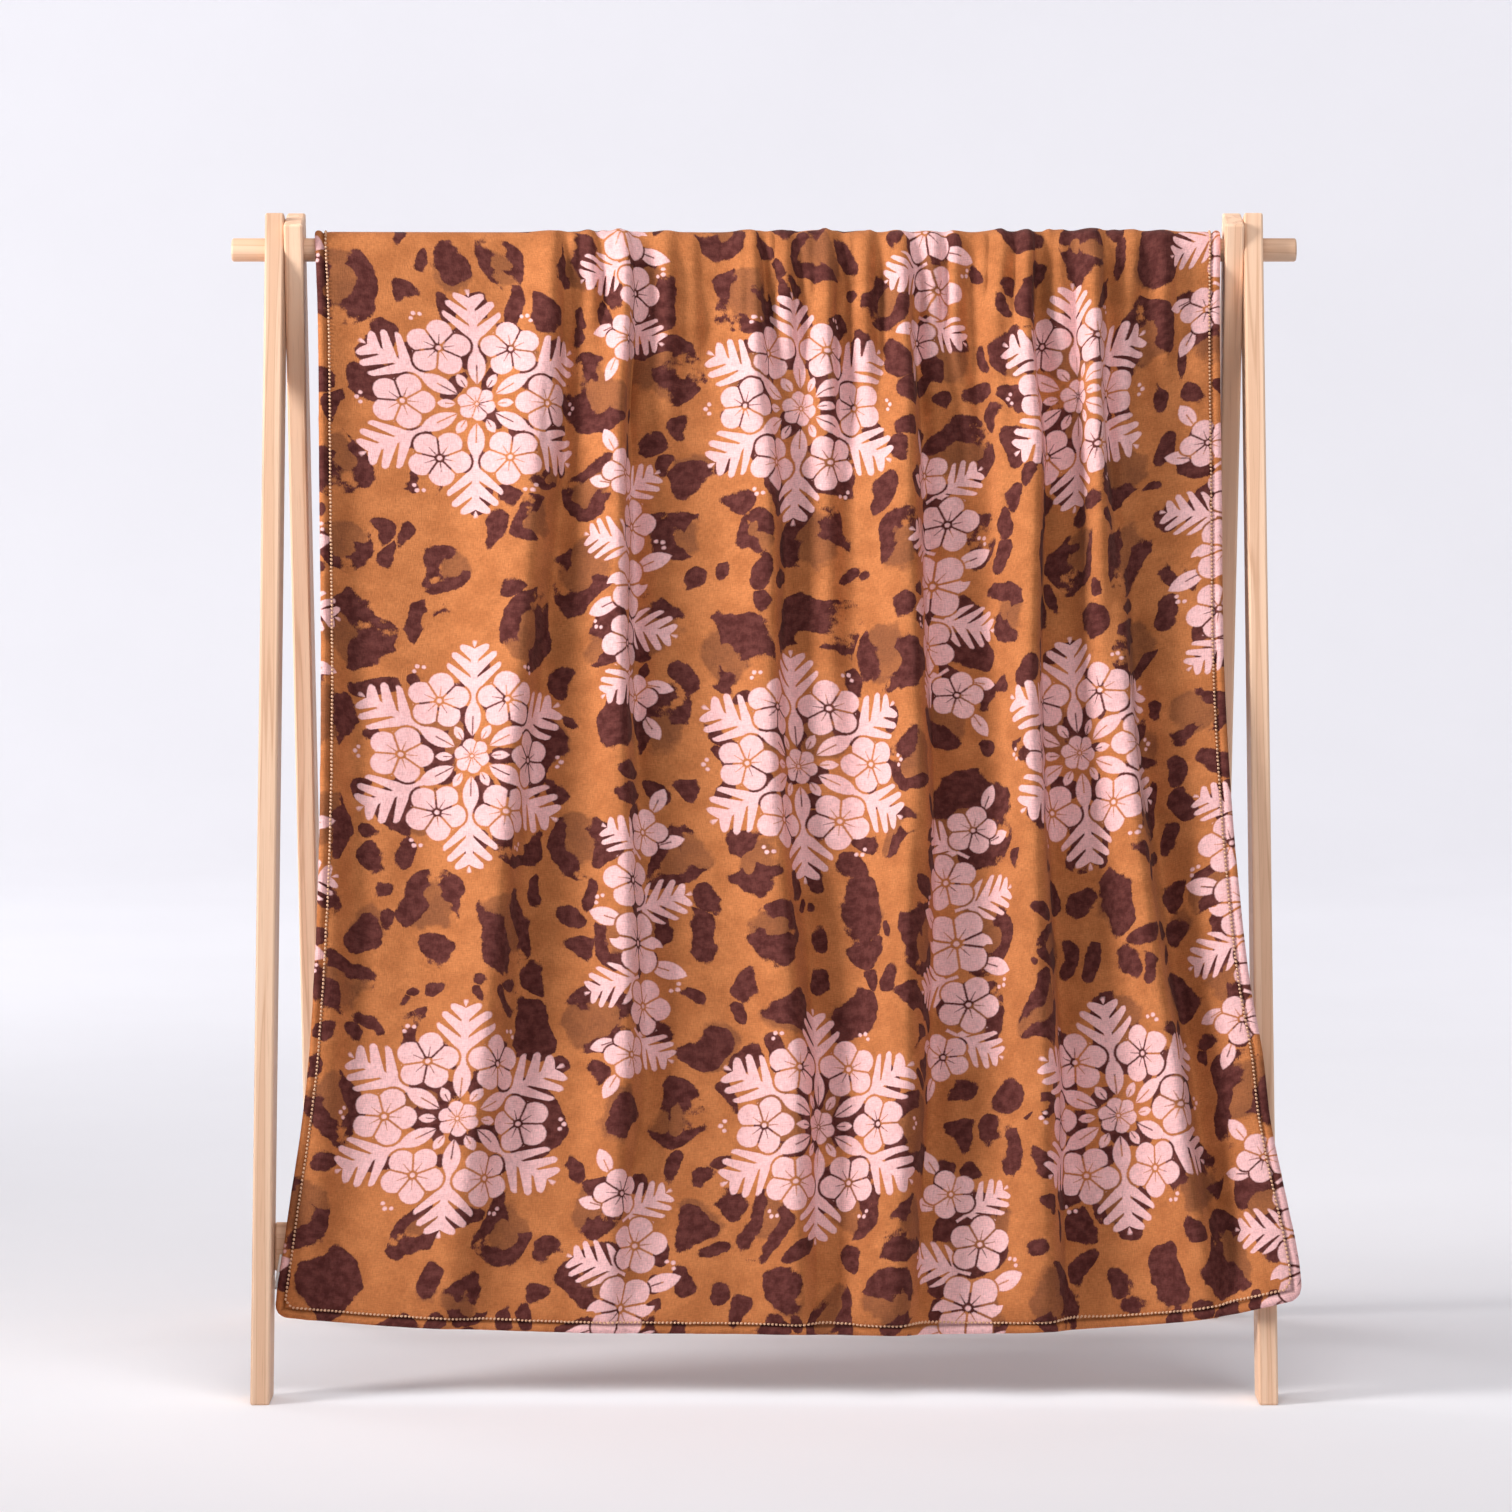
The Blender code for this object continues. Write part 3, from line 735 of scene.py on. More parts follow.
# %% [markdown]
# ## The edge
#
# Two layers are sewn face to face, turned, and topstitched about 10 mm in. The stitching pinches the
# layers together, and the turned edge outside it stays puffed, like a soft cord. So the thickness is a
# function of the distance to the nearest edge: a round end, a full roll, a sharp crease beside the
# stitching and the plain thickness beyond. The grid is closer at the edges, round the rod and across the
# folds, and wider along them.

# %% Edge sizes and the grid
ROLL = 0.0036  # half the thickness of the turned edge
TROUGH = 0.0007  # half the thickness in the crease
AT_STITCH = 0.0016  # half the thickness under the stitching
EDGE_STEPS = np.array([0, 0.3, 1.2, 2.8, 4.8, 6.4, 7.5, 8.3, 9.1, 10.2, 12.0, 15.0]) / 1000
CORNER = 0.012  # radius of the cloth's corners


def half_thickness(edge_distance, fullness):
    """Half the cloth's thickness: a quarter circle, the roll, the crease, then plain."""
    end = np.sqrt(np.clip(1 - (1 - edge_distance / ROLL) ** 2, 0, 1))
    end = np.where(edge_distance > ROLL, 1.0, end)
    roll = ROLL * (0.92 + 0.16 * fullness)
    flat = AT_STITCH + (CLOTH / 2 - AT_STITCH) * eased_in(edge_distance, STITCH_IN, 0.006)
    inner = roll + (flat - roll) * eased_in(edge_distance, 0.0050, 0.0032)
    pinch = np.exp(-(((edge_distance - CREASE_IN) / 0.0012) ** 2))
    return end * (inner - (inner - TROUGH) * pinch)


def edge_graded(total, stretches):
    """Places from 0 to total: the edge steps at both ends, and even steps in each stretch between.

    A stretch is (where it ends, its step).
    """
    places = [EDGE_STEPS]
    start = EDGE_STEPS[-1]
    for stop, step in (*stretches[:-1], (total - EDGE_STEPS[-1], stretches[-1][1])):
        places.append(np.linspace(start, stop, max(round((stop - start) / step), 1) + 1)[1:])
        start = stop
    return np.concatenate([*places, total - EDGE_STEPS[-2::-1]])


columns = edge_graded(BLANKET_WIDTH, ((0.21, 0.0043), (0.93, 0.0026), (BLANKET_WIDTH, 0.004)))
lengths = edge_graded(BLANKET_LENGTH, (
    (MIDDLE_DROP - 0.40, 0.0145), (MIDDLE_DROP - 0.15, 0.0125), (MIDDLE_DROP - 0.03, 0.0080),
    (MIDDLE_DROP + 0.028, 0.0032), (MIDDLE_DROP + 0.10, 0.0100), (BLANKET_LENGTH, 0.0280),
))
shares = share_at(lengths, MIDDLE_DROP)
front_faces = (len(columns) - 1) * (len(lengths) - 1)
print("cloth grid:", len(columns), "by", len(lengths), "triangles", 4 * front_faces)

# %% [markdown]
# ## Creases
#
# A CAD solid has no faces for the sharp part of a fold. Where the gathers on the rod let go, one pleat
# laps over the next with a narrow lip, and the long folds below it end in a crisp right side. So the
# main creases are listed one by one: each runs between two places on the cloth, and is a lip with a wide
# left flank, a narrow right flank and a trough beside it, moved straight off the hang line. Handling leaves
# smaller creases, which are drawn from a seeded table, and the stitching puckers the edge.

# %% Main creases
CREASES = (
    # across and down at its top, across and down at its end, height, left flank, right flank (m)
    (0.229, 0.008, 0.233, 0.260, 0.0095, 0.012, 0.0050),
    (0.226, 0.230, 0.196, 0.620, 0.0090, 0.026, 0.0075),
    (0.194, 0.580, 0.172, 1.090, 0.0095, 0.026, 0.0100),
    (0.248, 0.000, 0.249, 0.090, 0.0038, 0.006, 0.0035),
    (0.267, 0.000, 0.269, 0.100, 0.0040, 0.006, 0.0035),
    (0.286, 0.000, 0.288, 0.060, 0.0030, 0.006, 0.0035),
    (0.304, 0.008, 0.300, 0.250, 0.0110, 0.012, 0.0045),
    (0.299, 0.230, 0.310, 0.600, 0.0130, 0.022, 0.0070),
    (0.312, 0.580, 0.307, 1.040, 0.0115, 0.026, 0.0100),
    (0.374, 0.000, 0.378, 0.130, 0.0036, 0.010, 0.0050),
    (0.421, 0.000, 0.424, 0.110, 0.0030, 0.008, 0.0045),
    (0.440, 0.006, 0.440, 0.200, 0.0056, 0.010, 0.0045),
    (0.446, 0.200, 0.460, 0.620, 0.0085, 0.020, 0.0075),
    (0.458, 0.580, 0.489, 1.120, 0.0130, 0.028, 0.0110),
    (0.458, 0.000, 0.459, 0.070, 0.0036, 0.006, 0.0035),
    (0.478, 0.004, 0.478, 0.140, 0.0042, 0.008, 0.0040),
    (0.500, 0.000, 0.500, 0.080, 0.0032, 0.007, 0.0040),
    (0.526, 0.008, 0.514, 0.220, 0.0080, 0.012, 0.0045),
    (0.543, 0.000, 0.543, 0.070, 0.0030, 0.006, 0.0035),
    (0.560, 0.006, 0.561, 0.170, 0.0050, 0.010, 0.0056),
    (0.585, 0.000, 0.584, 0.080, 0.0022, 0.008, 0.0052),
    (0.606, 0.008, 0.597, 0.240, 0.0092, 0.014, 0.0066),
    (0.597, 0.210, 0.608, 0.640, 0.0160, 0.028, 0.0085),
    (0.590, 0.590, 0.570, 1.120, 0.0180, 0.032, 0.0130),
    (0.638, 0.000, 0.637, 0.110, 0.0046, 0.009, 0.0048),
    (0.658, 0.004, 0.657, 0.170, 0.0044, 0.008, 0.0052),
    (0.688, 0.000, 0.690, 0.080, 0.0036, 0.008, 0.0042),
    (0.716, 0.004, 0.722, 0.120, 0.0044, 0.010, 0.0050),
    (0.742, 0.006, 0.742, 0.190, 0.0084, 0.013, 0.0064),
    (0.742, 0.170, 0.740, 0.600, 0.0160, 0.024, 0.0075),
    (0.740, 0.540, 0.710, 1.120, 0.0175, 0.032, 0.0120),
    (0.795, 0.030, 0.794, 0.200, 0.0036, 0.009, 0.0060),
    (0.822, 0.018, 0.836, 0.160, 0.0090, 0.015, 0.0068),
    (0.828, 0.140, 0.844, 0.360, 0.0130, 0.018, 0.0060),
    (0.852, 0.340, 0.866, 0.620, 0.0120, 0.026, 0.0080),
    (0.866, 0.560, 0.873, 1.060, 0.0130, 0.030, 0.0110),
    (0.905, 0.010, 0.908, 0.150, 0.0032, 0.010, 0.0060),
    (0.030, 0.360, 0.040, 0.900, -0.0030, 0.014, 0.0140),
)
LIP_HEIGHT = 1.1  # times the heights in the table
PRINT_EVENED = 0.09  # along the cloth (m)
GATHERS = 30  # fine pleats across the rod's top
STEEP_CREASES = 40
SLACK_CREASES = 34
PUCKER_WAVES = 14
CREASE_ENDS = 0.35  # of a crease's length, over which it fades at each end
FREE_DEPTH = 0.016  # how far a trough may go behind the hang line where nothing is behind it
STRETCHER_DOWN = 0.945  # where the cloth passes the front stretcher, from the rod's top
SOFT_STOP = 0.0012  # over which a trough's stop is rounded
PUCKER_HEIGHT = 0.0016


# %% Crease functions
def lips(across, down, table):
    """The sum of the main creases: a lip along a line, and a trough just to the right of it.

    A crease's line runs from its top to its end. Its height grows and fades with ease along the line, and
    falls off across it as a bell curve whose left and right flanks differ.
    """
    total = np.zeros_like(across)
    for top_across, top_down, end_across, end_down, tall, left, right in table:
        along = (down - top_down) / (end_down - top_down)
        line = top_across + (end_across - top_across) * along
        away = across - line
        strength = LIP_HEIGHT * tall * ease(along / CREASE_ENDS + 0.5)
        strength = strength * ease((1 - along) / CREASE_ENDS + 0.1)
        total += strength * np.exp(-((away / np.where(away < 0, left, right)) ** 2))
        below_rod = eased_in(down, 0.030, 0.030)
        beside = np.where(away < 2.2 * right, 1.1 * right, 2.2 * right)
        total -= strength * below_rod * np.exp(-(((away - 2.2 * right) / beside) ** 2))
    return total


def ridges(across, across_down, table):
    """The sum of short ridges. Each is a bell curve across its line and a flatter one along it."""
    total = np.zeros_like(across)
    for at_across, at_down, angle, reach, width, tall in table:
        dx, dy = across - at_across, across_down - at_down
        side = dx * math.cos(angle) + dy * math.sin(angle)
        way = dy * math.cos(angle) - dx * math.sin(angle)
        total += tall * np.exp(-((side / width) ** 2) - (way / reach) ** 4)
    return total


def crease_table(seed):
    """Places and sizes of small creases: fine and steep below the rod, broad and slack low down."""
    draw = np.random.default_rng(seed)
    rows = []
    for _ in range(GATHERS):
        width, tall = draw.uniform(0.0035, 0.0055), draw.uniform(0.0005, 0.0014)
        across = draw.choice((draw.uniform(0.20, 0.32), draw.uniform(0.42, 0.60), draw.uniform(0.58, 0.88)))
        rows.append((across, 0.0, draw.normal(0.0, 0.03), draw.uniform(0.035, 0.085), width, tall))
    for _ in range(STEEP_CREASES):
        down = 0.03 + 0.20 * draw.random() ** 1.5
        width, tall = draw.uniform(0.004, 0.007), draw.uniform(0.0005, 0.0013)
        across, angle = draw.uniform(0.18, 0.94), draw.normal(0.0, 0.10)
        rows.append((across, down, angle, draw.uniform(0.03, 0.09), width, tall))
    for _ in range(SLACK_CREASES):
        width, tall = draw.uniform(0.009, 0.018), draw.uniform(-0.0012, 0.0014)
        place = (draw.uniform(0.06, 0.92), draw.uniform(0.25, 0.98))
        rows.append((*place, draw.normal(0.0, 0.35), draw.uniform(0.03, 0.08), width, tall))
    return rows


def puckers(across, along, edge_distance, seed):
    """A gentle wave along the stitching, out of several wave lengths, that dies away from the edge."""
    draw = np.random.default_rng(seed)
    wave = np.zeros_like(across)
    for _ in range(PUCKER_WAVES):
        rate = 2 * math.pi / draw.uniform(0.014, 0.060)
        phase = draw.uniform(0, 2 * math.pi)
        wave += draw.uniform(0.3, 1.0) * np.sin(rate * (across + along * 1.07) + phase)
    return wave / 6 * np.exp(-edge_distance / 0.016)


def pushed_out(points, relief, down):
    """Points moved straight off the hang line by the relief, so that the cloth never turns under itself.

    A trough stops softly at the line where the rod or the stretcher is behind it. In the open stretch
    between them, and below the stretcher, it may go a little further.
    """
    along, line_y, line_z, angle = hang_line()
    tilt = np.interp(down, along, angle)
    out = np.stack([np.zeros_like(tilt), -np.sin(tilt), np.cos(tilt)], axis=-1)
    from_line = (points[..., 1] - np.interp(down, along, line_y)) * out[..., 1]
    from_line += (points[..., 2] - np.interp(down, along, line_z)) * out[..., 2]
    past_rod = eased_in(np.abs(down), 0.05, 0.12)
    off_stretcher = eased_in(np.abs(down - STRETCHER_DOWN), 0.045, 0.07)
    free = FREE_DEPTH * past_rod * off_stretcher
    lowest = -from_line - free
    relief = (relief + lowest + np.sqrt((relief - lowest) ** 2 + SOFT_STOP**2)) / 2
    return points + out * relief[..., None]


# %% The cloth's two faces
def surface_normals(points):
    """Unit normals of a grid of points: the way along its rows crossed with the way along its columns.

    The blanket's rows run to the right and its columns up the front, so they point out of the front.
    """
    up = np.gradient(points, axis=0)
    over = np.gradient(points, axis=1)
    normal = np.cross(over, up)
    return normal / np.maximum(np.linalg.norm(normal, axis=-1, keepdims=True), 1e-12)


def rounded_corners(across, along):
    """Moves the places near a corner so that the square corner becomes a quarter circle."""
    from_side = np.minimum(across, BLANKET_WIDTH - across)
    from_end = np.minimum(along, BLANKET_LENGTH - along)
    a = np.clip(1 - from_side / CORNER, 0, 1)
    b = np.clip(1 - from_end / CORNER, 0, 1)
    in_by_side = CORNER * (a - a * np.sqrt(1 - b * b / 2))
    in_by_end = CORNER * (b - b * np.sqrt(1 - a * a / 2))
    return (
        np.where(across < BLANKET_WIDTH / 2, in_by_side, -in_by_side),
        np.where(along < BLANKET_LENGTH / 2, in_by_end, -in_by_end),
    )


def printed_across(points, across):
    """Places across for the print: the length along each row of points, so that no fold stretches it.

    The lengths are first evened out between rows, as a knit gives a little rather than shear.
    """
    apart = (lengths[:, None] - lengths[None, :]) / PRINT_EVENED
    weights = np.exp(-(apart**2)) * np.gradient(lengths)
    steps = np.linalg.norm(np.diff(points, axis=1), axis=-1)
    steps = weights @ steps / weights.sum(axis=1, keepdims=True)
    run = np.concatenate([np.zeros((len(points), 1)), np.cumsum(steps, axis=1)], axis=1)
    return across[:, :1] + (across[:, -1:] - across[:, :1]) * run / run[:, -1:]


middle, along_cloth = cloth_middle(columns, shares)
across_cloth = np.broadcast_to(columns, along_cloth.shape).copy()
move_across, move_along = rounded_corners(across_cloth, along_cloth)
per_column = np.gradient(middle, axis=1) / np.gradient(across_cloth, axis=1)[..., None]
per_row = np.gradient(middle, axis=0) / np.gradient(along_cloth, axis=0)[..., None]
middle = middle + per_column * move_across[..., None] + per_row * move_along[..., None]
from_sides = np.minimum(across_cloth, BLANKET_WIDTH - across_cloth)
from_ends = np.minimum(along_cloth, BLANKET_LENGTH - along_cloth)
edge_distance = np.clip(np.minimum(from_sides, from_ends), 0, None)
across_cloth, along_cloth = across_cloth + move_across, along_cloth + move_along
down = drop_at(across_cloth) - along_cloth
small_creases = crease_table(7)
away_from_rod = eased_in(np.abs(down), 0.012, 0.02)
clear_of_edge = eased_in(edge_distance, 0.008, 0.012)
relief = lips(across_cloth, down, CREASES) * eased_in(down, -0.004, 0.026) * clear_of_edge
relief = relief + ridges(across_cloth, down, small_creases[:GATHERS]) * clear_of_edge
relief = relief + ridges(across_cloth, down, small_creases[GATHERS:]) * away_from_rod * clear_of_edge
relief = relief + PUCKER_HEIGHT * puckers(across_cloth, along_cloth, edge_distance, 3) * away_from_rod
middle = pushed_out(middle, relief, down)
normal = surface_normals(middle)
fullness = puckers(across_cloth, along_cloth, 0.0 * edge_distance, 11)
half = half_thickness(edge_distance, fullness)
outer_face = middle + normal * half[..., None]
inner_face = middle - normal * half[..., None]
print("outer face from", outer_face.min((0, 1)).round(3), "to", outer_face.max((0, 1)).round(3))


# %% [markdown]
# ## The cloth as one closed mesh
#
# The outer and the inner face are two grids that share their border, where the thickness is nothing, so
# the sheet is closed without a rim. Its UV map lays the two faces side by side, and the attribute keeps
# each point's place on the flat cloth in metres for the print.


# %% The blanket piece
def mesh_object(name, points, quads, finish):
    """An object with a smooth-shaded mesh of quads, and its material."""
    mesh = bpy.data.meshes.new(name)
    mesh.from_pydata(points.reshape(-1, 3).tolist(), [], quads.reshape(-1, quads.shape[-1]).tolist())
    mesh.validate()
    mesh.shade_smooth()
    mesh.materials.append(finish)
    made = bpy.data.objects.new(name, mesh)
    scene.collection.objects.link(made)
    return made


def close_ends(piece, sides):
    """Fills a tube's open ends and turns its faces outwards."""
    closing = bmesh.new()
    closing.from_mesh(piece.data)
    bmesh.ops.holes_fill(closing, edges=closing.edges, sides=sides)
    bmesh.ops.recalc_face_normals(closing, faces=closing.faces)
    closing.to_mesh(piece.data)
    closing.free()


def grid_quads(index):
    """The quads between neighbours in a grid of point numbers."""
    corners = (index[:-1, :-1], index[:-1, 1:], index[1:, 1:], index[1:, :-1])
    return np.stack(corners, axis=-1).reshape(-1, 4)


def closed_sheet(name, outer, inner, finish):
    """One closed mesh of two grids that share their border points."""
    rows, count = outer.shape[:2]
    front = np.arange(rows * count).reshape(rows, count)
    border = np.ones((rows, count), bool)
    border[1:-1, 1:-1] = False
    back = front.copy()
    back[~border] = rows * count + np.arange((~border).sum())
    points = np.concatenate([outer.reshape(-1, 3), inner[~border]])
    quads = np.concatenate([grid_quads(front), grid_quads(back)[:, ::-1]])
    return mesh_object(name, points, quads, finish), ~border


blanket, is_inner = closed_sheet("draped_blanket", outer_face, inner_face, minky)
print_across = printed_across(middle, across_cloth)
flat_place = np.stack([print_across, along_cloth, np.zeros_like(across_cloth)], axis=-1)
flat_place = np.concatenate([flat_place.reshape(-1, 3), flat_place[is_inner]])
attribute = blanket.data.attributes.new("cloth_place", "FLOAT_VECTOR", "POINT")
attribute.data.foreach_set("vector", flat_place.astype(np.float32).ravel())


MAP_FILL = 0.985  # of each half's width that the cloth takes


def lay_out_map(piece, place, span, faces_in_front):
    """A UV map with the outer face in the left half and the inner face in the right half.

    faces_in_front is how many faces the outer face has.
    """
    layer = piece.data.uv_layers.new(name="OFBake")
    corners = np.zeros(len(piece.data.loops), int)
    piece.data.loops.foreach_get("vertex_index", corners)
    uv = place[corners, :2] / span * MAP_FILL + (1 - MAP_FILL) / 2
    uv[:, 0] *= 0.5
    uv[faces_in_front * 4:, 0] += 0.5
    layer.uv.foreach_set("vector", uv.astype(np.float32).ravel())


lay_out_map(blanket, flat_place, max(BLANKET_LENGTH, BLANKET_WIDTH), front_faces)
mesh_check = bmesh.new()
mesh_check.from_mesh(blanket.data)
print("blanket volume, litres:", round(mesh_check.calc_volume(signed=True) * 1000, 2))
mesh_check.free()
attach(blanket, "root")
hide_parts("blanket")

# %% [markdown]
# ## Topstitching
#
# A pale thread runs all round, 10 mm in from the edge. Each stitch is a short capsule that lies beside the
# crease, bent to the surface, and dips into the cloth at both ends. All of them are one mesh.

# %% Stitch sizes and thread
STITCH_PITCH = 0.0036
STITCH_LENGTH = 0.0032
THREAD_RADIUS = 0.00115
PRESSED_THREAD = 0.4  # of its radius that a stitch keeps between the rod and the cloth
STITCH_RINGS = 5
STITCH_SIDES = 5
SLANT = math.radians(24)


def thread_material():
    made, tree, shader = new_material("pale thread", roughness=0.6)
    twist = noise(tree, object_place(tree), 900.0, 1.0)
    colour = blend_colours(tree, between(twist, -0.2, 0.2), (0.62, 0.34, 0.19), (0.78, 0.50, 0.33))
    feed(tree, colour, shader.inputs["Base Color"])
    add_bump(tree, shader, twist, 0.0003, 0.4)
    return made


def on_cloth(across, along, side):
    """Points on the cloth's outer (side 1) or inner (side -1) face, read between the grid's points."""
    share = share_at(along, drop_at(across))
    grid = outer_face if side > 0 else inner_face
    i = np.clip(np.searchsorted(-shares, -share) - 1, 0, len(shares) - 2)
    j = np.clip(np.searchsorted(columns, across) - 1, 0, len(columns) - 2)
    s = ((share - shares[i]) / (shares[i + 1] - shares[i]))[..., None]
    t = ((across - columns[j]) / (columns[j + 1] - columns[j]))[..., None]
    above = grid[i, j] * (1 - t) + grid[i, j + 1] * t
    under = grid[i + 1, j] * (1 - t) + grid[i + 1, j + 1] * t
    facing = normal[i, j] * side
    return above * (1 - s) + under * s, facing


def stitch_path():
    """Places of the stitches' middles and their directions: a rounded rectangle on the flat cloth."""
    bend = 0.006
    low, high = STITCH_IN, np.array([BLANKET_WIDTH, BLANKET_LENGTH]) - STITCH_IN
    corners = np.array([
        (low + bend, low), (high[0] - bend, low), (high[0], low + bend), (high[0], high[1] - bend),
        (high[0] - bend, high[1]), (low + bend, high[1]), (low, high[1] - bend), (low, low + bend),
        (low + bend, low),
    ])
    lengths_so_far = np.concatenate([[0], np.cumsum(np.linalg.norm(np.diff(corners, axis=0), axis=1))])
    count = int(lengths_so_far[-1] / STITCH_PITCH)
    at = (np.arange(count) + 0.5) * lengths_so_far[-1] / count
    spots = np.stack([np.interp(at, lengths_so_far, corners[:, k]) for k in (0, 1)], axis=-1)
    ahead = np.stack([np.interp(at + 0.0005, lengths_so_far, corners[:, k]) for k in (0, 1)], axis=-1)
    way = ahead - spots
    way = way / np.linalg.norm(way, axis=1, keepdims=True)
    slanted = way * math.cos(SLANT) + np.stack([-way[:, 1], way[:, 0]], axis=-1) * math.sin(SLANT)
    return spots, slanted


def stitch_mesh(side):
    """Points of capsules along the path, as rings of points, sunk in at both ends.

    A ring's radius is that of an ellipse along the stitch, and its height above the cloth is a hump. The
    rod presses the stitches that lie on it flat.
    """
    spots, way = stitch_path()
    steps = np.linspace(-1, 1, STITCH_RINGS)
    places = spots[:, None] + way[:, None] * (steps * STITCH_LENGTH / 2)[None, :, None]
    points, facing = on_cloth(places[..., 0], places[..., 1], side)
    run = np.gradient(points, axis=1)
    run /= np.linalg.norm(run, axis=-1, keepdims=True)
    aside = np.cross(run, facing)
    aside /= np.linalg.norm(aside, axis=-1, keepdims=True)
    from_rod = np.abs(drop_at(places[..., 0]) - places[..., 1])
    round_share = eased_in(from_rod, 0.024, 0.012) if side < 0 else np.ones_like(from_rod)
    thread = THREAD_RADIUS * (PRESSED_THREAD + (1 - PRESSED_THREAD) * round_share[..., None])
    radius = thread * np.sqrt(np.clip(1.04 - steps**2, 0, 1))[:, None]
    points = points + facing * thread * (0.9 - 1.5 * steps**2)[:, None]
    angle = np.linspace(0, 2 * math.pi, STITCH_SIDES, endpoint=False)
    ring = (
        aside[:, :, None] * np.cos(angle)[None, None, :, None] * radius[:, :, None]
        + facing[:, :, None] * np.sin(angle)[None, None, :, None] * radius[:, :, None]
    )
    return points[:, :, None] + ring


def stitches(name, finish):
    """All stitches of both faces as one mesh of quads, with each end closed by one face."""
    rings = np.concatenate([stitch_mesh(1), stitch_mesh(-1)])
    count, steps, around = rings.shape[:3]
    index = np.arange(count * steps * around).reshape(count, steps, around)
    beside = np.roll(index, -1, axis=2)
    quads = np.stack([index[:, :-1], beside[:, :-1], beside[:, 1:], index[:, 1:]], axis=-1).reshape(-1, 4)
    piece = mesh_object(name, rings, quads, finish)
    close_ends(piece, around)
    return piece


thread = thread_material()
topstitching = stitches("topstitching", thread)
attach(topstitching, "root")
print("stitch faces:", len(topstitching.data.polygons))

# %% [markdown]
# ## Label
#
# A blank white woven tape is folded into the left seam near the bottom. It leaves the edge sideways and
# turns back beside it. It is a closed sheet like the blanket, with two plies that show at its ends.


# %% The label piece
def tape_material():
    made, tree, shader = new_material("white woven tape", roughness=0.75)
    place = object_place(tree)
    _, y, z = split(tree, place)
    weave = calculate("SINE", y * 9000.0) * calculate("SINE", z * 9000.0)
    shade = noise(tree, place, 300.0, 2.0)
    colour = blend_colours(tree, between(shade, -0.3, 0.3), (0.80, 0.79, 0.77), (0.90, 0.89, 0.88))
    feed(tree, colour, shader.inputs["Base Color"])
    add_bump(tree, shader, weave, 0.0002, 0.5)
    return made


LABEL_FROM = 0.945  # share of the drop
LABEL_TO = 0.976
LABEL_OFF = 0.0006  # from the cloth's edge
LABEL_OUT = 0.0021  # radius of its turn
LABEL_BACK = 0.007  # how far it reaches back beside the edge
LABEL_HALF = 0.0004  # half the thickness of its two plies together


def label_piece(finish):
    """The tape's middle is a quarter turn and a straight stretch; its two faces are parted by its plies."""
    heights = np.linspace(LABEL_TO, LABEL_FROM, 15)
    edge, _ = cloth_middle(np.array([0.0]), heights)
    turn = np.linspace(0, math.pi / 2, 9)
    out = np.append(LABEL_OFF + LABEL_OUT * np.sin(turn), np.full(5, LABEL_OFF + LABEL_OUT))
    back = np.append(LABEL_OUT * (1 - np.cos(turn)), np.linspace(LABEL_OUT, LABEL_BACK, 6)[1:])
    middle = np.repeat(edge, len(out), axis=1)
    middle[..., 0] -= out
    middle[..., 1] += back
    facing = surface_normals(middle)
    half = np.zeros((*middle.shape[:2], 1))
    half[1:-1, 1:-1] = LABEL_HALF
    piece, _ = closed_sheet("side_label", middle + facing * half, middle - facing * half, finish)
    return piece


tape = tape_material()
side_label = label_piece(tape)
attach(side_label, "root")
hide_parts("label")

# %% [markdown]
# ## Pine
#
# The rack is planed pine without varnish. Its grain runs along each piece, in soft bands of lighter early
# wood and narrower, darker late wood, with fine lines between. So the noise is stretched along the piece.
# The legs lean, so their pattern is turned about X by the same angle before it is read.


# %% Wood
def pine_material(name, lean, along_x, seed, shade_tone=1.0):
    """Pine whose grain runs along X, or up a leg that leans by an angle about X.

    Its colours are multiplied by a factor that is painted light and shade: below 1 where a piece is brightly
    lit, above 1 where it stands in shade.
    """
    made, tree, shader = new_material(name, roughness=0.52)
    moved = {"Vector": object_place(tree), "Rotation": (lean, 0, 0), "Location": (seed, seed * 1.7, 0)}
    x, y, z = split(tree, add_node(tree, "Mapping", moved).outputs[0])
    if along_x:
        x, z = z, x
    slow = join(tree, x, y, z * 0.022)
    drift = noise(tree, join(tree, x, y, z * 0.30), 9.0, 1.0)
    rings = noise(tree, join(tree, x + drift * 0.012, y + drift * 0.012, z * 0.016), 105.0, 1.0, 0.4)
    bands = between(rings, -0.14, 0.14)
    late = between(abs(rings - 0.045), 0.035, 0.0)
    fibres = noise(tree, slow, 900.0, 2.0, 0.6)
    patches = noise(tree, join(tree, x, y, z * 0.2), 30.0, 2.0)
    early, middling, dark, fine = (
        tuple(shade_tone * part for part in colour)
        for colour in ((0.88, 0.605, 0.425), (0.78, 0.485, 0.318), (0.56, 0.30, 0.175), (0.46, 0.24, 0.12))
    )
    colour = blend_colours(tree, bands, early, middling)
    colour = blend_colours(tree, late * 0.55, colour, dark)
    colour = blend_colours(tree, between(fibres, 0.02, 0.30) * 0.35, colour, fine)
    colour = blend_colours(tree, between(patches, -0.2, 0.3) * 0.3, colour, middling)
    feed_all(tree, shader, {"Base Color": colour, "Specular IOR Level": 0.35})
    add_bump(tree, shader, fibres + bands * 0.3, 0.0004, 0.35)
    return made


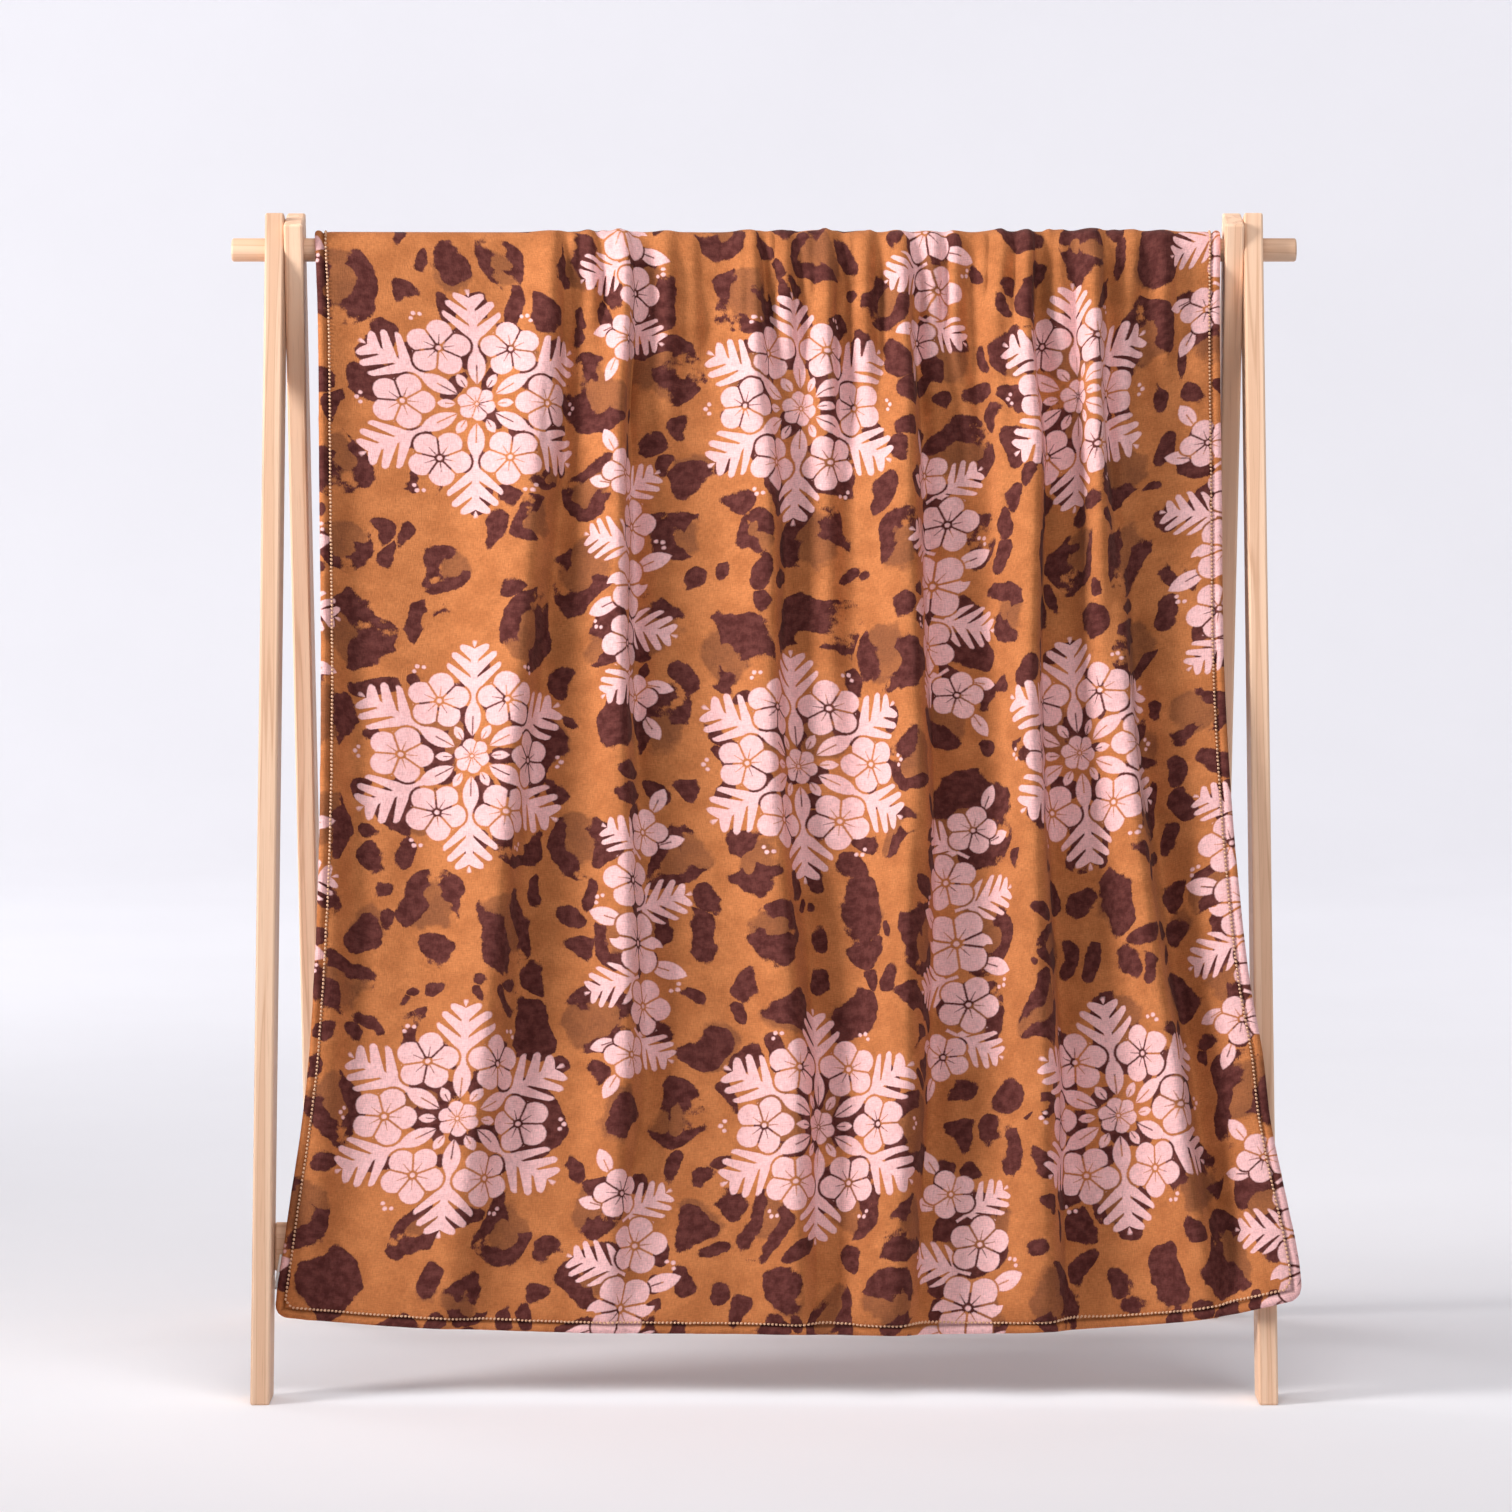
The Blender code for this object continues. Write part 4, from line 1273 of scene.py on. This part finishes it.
leg_slope = math.atan2(FOOT_REACH, ROD_HEIGHT)
# painted light and shade: the brightly lit left front leg is darkened, and the back legs in shade are
# lightened
pine_for = {
    "leg_left_front": pine_material("pine left front", leg_slope, False, 0.3, 0.86),
    "leg_left_back": pine_material("pine left back", -leg_slope, False, 0.9, 1.10),
    "leg_right_front": pine_material("pine right front", leg_slope, False, 1.7, 0.98),
    "leg_right_back": pine_material("pine right back", -leg_slope, False, 2.4, 1.10),
    "stretcher_front": pine_material("pine front stretcher", leg_slope, True, 3.1),
    "stretcher_back": pine_material("pine back stretcher", -leg_slope, True, 4.2),
}
for node, finish in pine_for.items():
    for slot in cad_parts[node].material_slots:
        slot.material = finish
print("pine on", len(pine_for), "pieces")

# %% [markdown]
# ## Rod
#
# The dowel's end edges are just broken. A profile of radius against length is carried round the axis, with
# more sides than the CAD facets have.


# %% The rod piece
def turned_rod(finish):
    """A profile carried round X: flat ends, an eased edge of a quarter circle, and a straight barrel."""
    edge, around, flat_end = 0.0022, 72, 0.0045
    half_length = (rod_high[0] - rod_low[0]) / 2
    turn = np.linspace(0, math.pi / 2, 6)
    rise = ROD_RADIUS - edge + edge * np.sin(turn)
    along = half_length - edge + edge * np.cos(turn)
    right = np.stack([along, rise], axis=-1)
    barrel = np.stack([np.linspace(along[-1], -along[-1], 22), np.full(22, ROD_RADIUS)], axis=-1)
    left = right[::-1] * (-1, 1)
    profile = np.concatenate([right, barrel[1:-1], left])
    profile = np.concatenate([[(half_length, flat_end)], profile, [(-half_length, flat_end)]])
    angle = np.linspace(0, 2 * math.pi, around, endpoint=False)
    points = np.stack([
        np.repeat(profile[:, :1], around, axis=1),
        ROD_Y + profile[:, 1:] * np.cos(angle),
        ROD_HEIGHT + profile[:, 1:] * np.sin(angle),
    ], axis=-1)
    index = np.arange(len(profile) * around).reshape(len(profile), around)
    index = np.concatenate([index, index[:, :1]], axis=1)
    piece = mesh_object("rod_dowel", points, grid_quads(index), finish)
    close_ends(piece, around)
    piece.data.set_sharp_from_angle(angle=math.radians(40))
    return piece


rod_dowel = turned_rod(pine_material("pine rod", 0.0, True, 5.3, 0.94))
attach(rod_dowel, "root")
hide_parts("rod")

# %% [markdown]
# ## Studio
#
# The photograph is a product shot on a white sweep: a floor that curves up into the backdrop with no
# line between them. It stands far enough back for a view from behind. A small soft light at the left
# front leaves the folds' right sides in shade, a wide one above fills them, and three light the backdrop
# and the floor behind.


# %% Floor, backdrop and lights
def sweep(finish):
    """A strip of floor that turns up in a large quarter circle behind the rack."""
    turn = np.linspace(0, math.pi / 2, 24)
    bend, back_at = 2.2, 5.0
    y = np.concatenate([[-14.0, -4.0], back_at + bend * np.sin(turn), [back_at + bend]])
    z = np.concatenate([[0.0, 0.0], bend * (1 - np.cos(turn)), [9.0]])
    x = np.array([-14.0, 14.0])
    points = np.stack(np.broadcast_arrays(x[None, :], y[:, None], z[:, None]), axis=-1)
    index = np.arange(len(y) * 2).reshape(len(y), 2)
    return mesh_object("studio_sweep", points, grid_quads(index), finish)


def floor_material():
    made, tree, shader = new_material("white paper sweep", roughness=0.9)
    paper = noise(tree, object_place(tree), 2.0, 3.0)
    colour = blend_colours(tree, between(paper, -0.3, 0.3), (0.90, 0.89, 0.92), (0.92, 0.91, 0.94))
    feed_all(tree, shader, {"Base Color": colour, "Specular IOR Level": 0.1})
    return made


sweep(floor_material())


LIGHTS = (
    # name, place, target, size (m), power (W), spread (degrees), colour
    ("key", (-3.5, -1.5, 1.9), (-0.05, 0, 0.95), 1.4, 19.5, 50, (1.0, 0.985, 0.975)),
    ("front top", (0.4, -1.8, 3.4), (0, 0, 0.4), 2.4, 57.0, 180, (1.0, 0.99, 0.99)),
    ("backdrop left", (-3.2, 3.0, 3.6), (-1.2, 7.2, 0.8), 2.4, 116.0, 180, (0.97, 0.97, 1.0)),
    ("floor", (-2.9, 2.1, 3.2), (-1.9, 1.2, 0.0), 2.0, 24.0, 180, (1.0, 1.0, 1.0)),
    ("backdrop right", (3.2, 3.0, 3.6), (1.2, 7.2, 0.8), 2.4, 87.0, 180, (0.97, 0.97, 1.0)),
)
for name, place, target, size, power, spread, colour in LIGHTS:
    data = bpy.data.lights.new(name, "AREA")
    data.size = size
    data.energy = power
    data.spread = math.radians(spread)
    data.color = colour
    lamp = bpy.data.objects.new(name, data)
    lamp.location = place
    lamp.rotation_euler = (Vector(target) - Vector(place)).to_track_quat("-Z", "Y").to_euler()
    scene.collection.objects.link(lamp)

world = bpy.data.worlds.new("studio air")
scene.world = world
world.use_nodes = True
air = {"Color": (0.96, 0.95, 0.99, 1.0), "Strength": 0.29}
feed_all(world.node_tree, world.node_tree.nodes["Background"], air)
scene.view_settings.view_transform = "Standard"
scene.view_settings.look = "None"
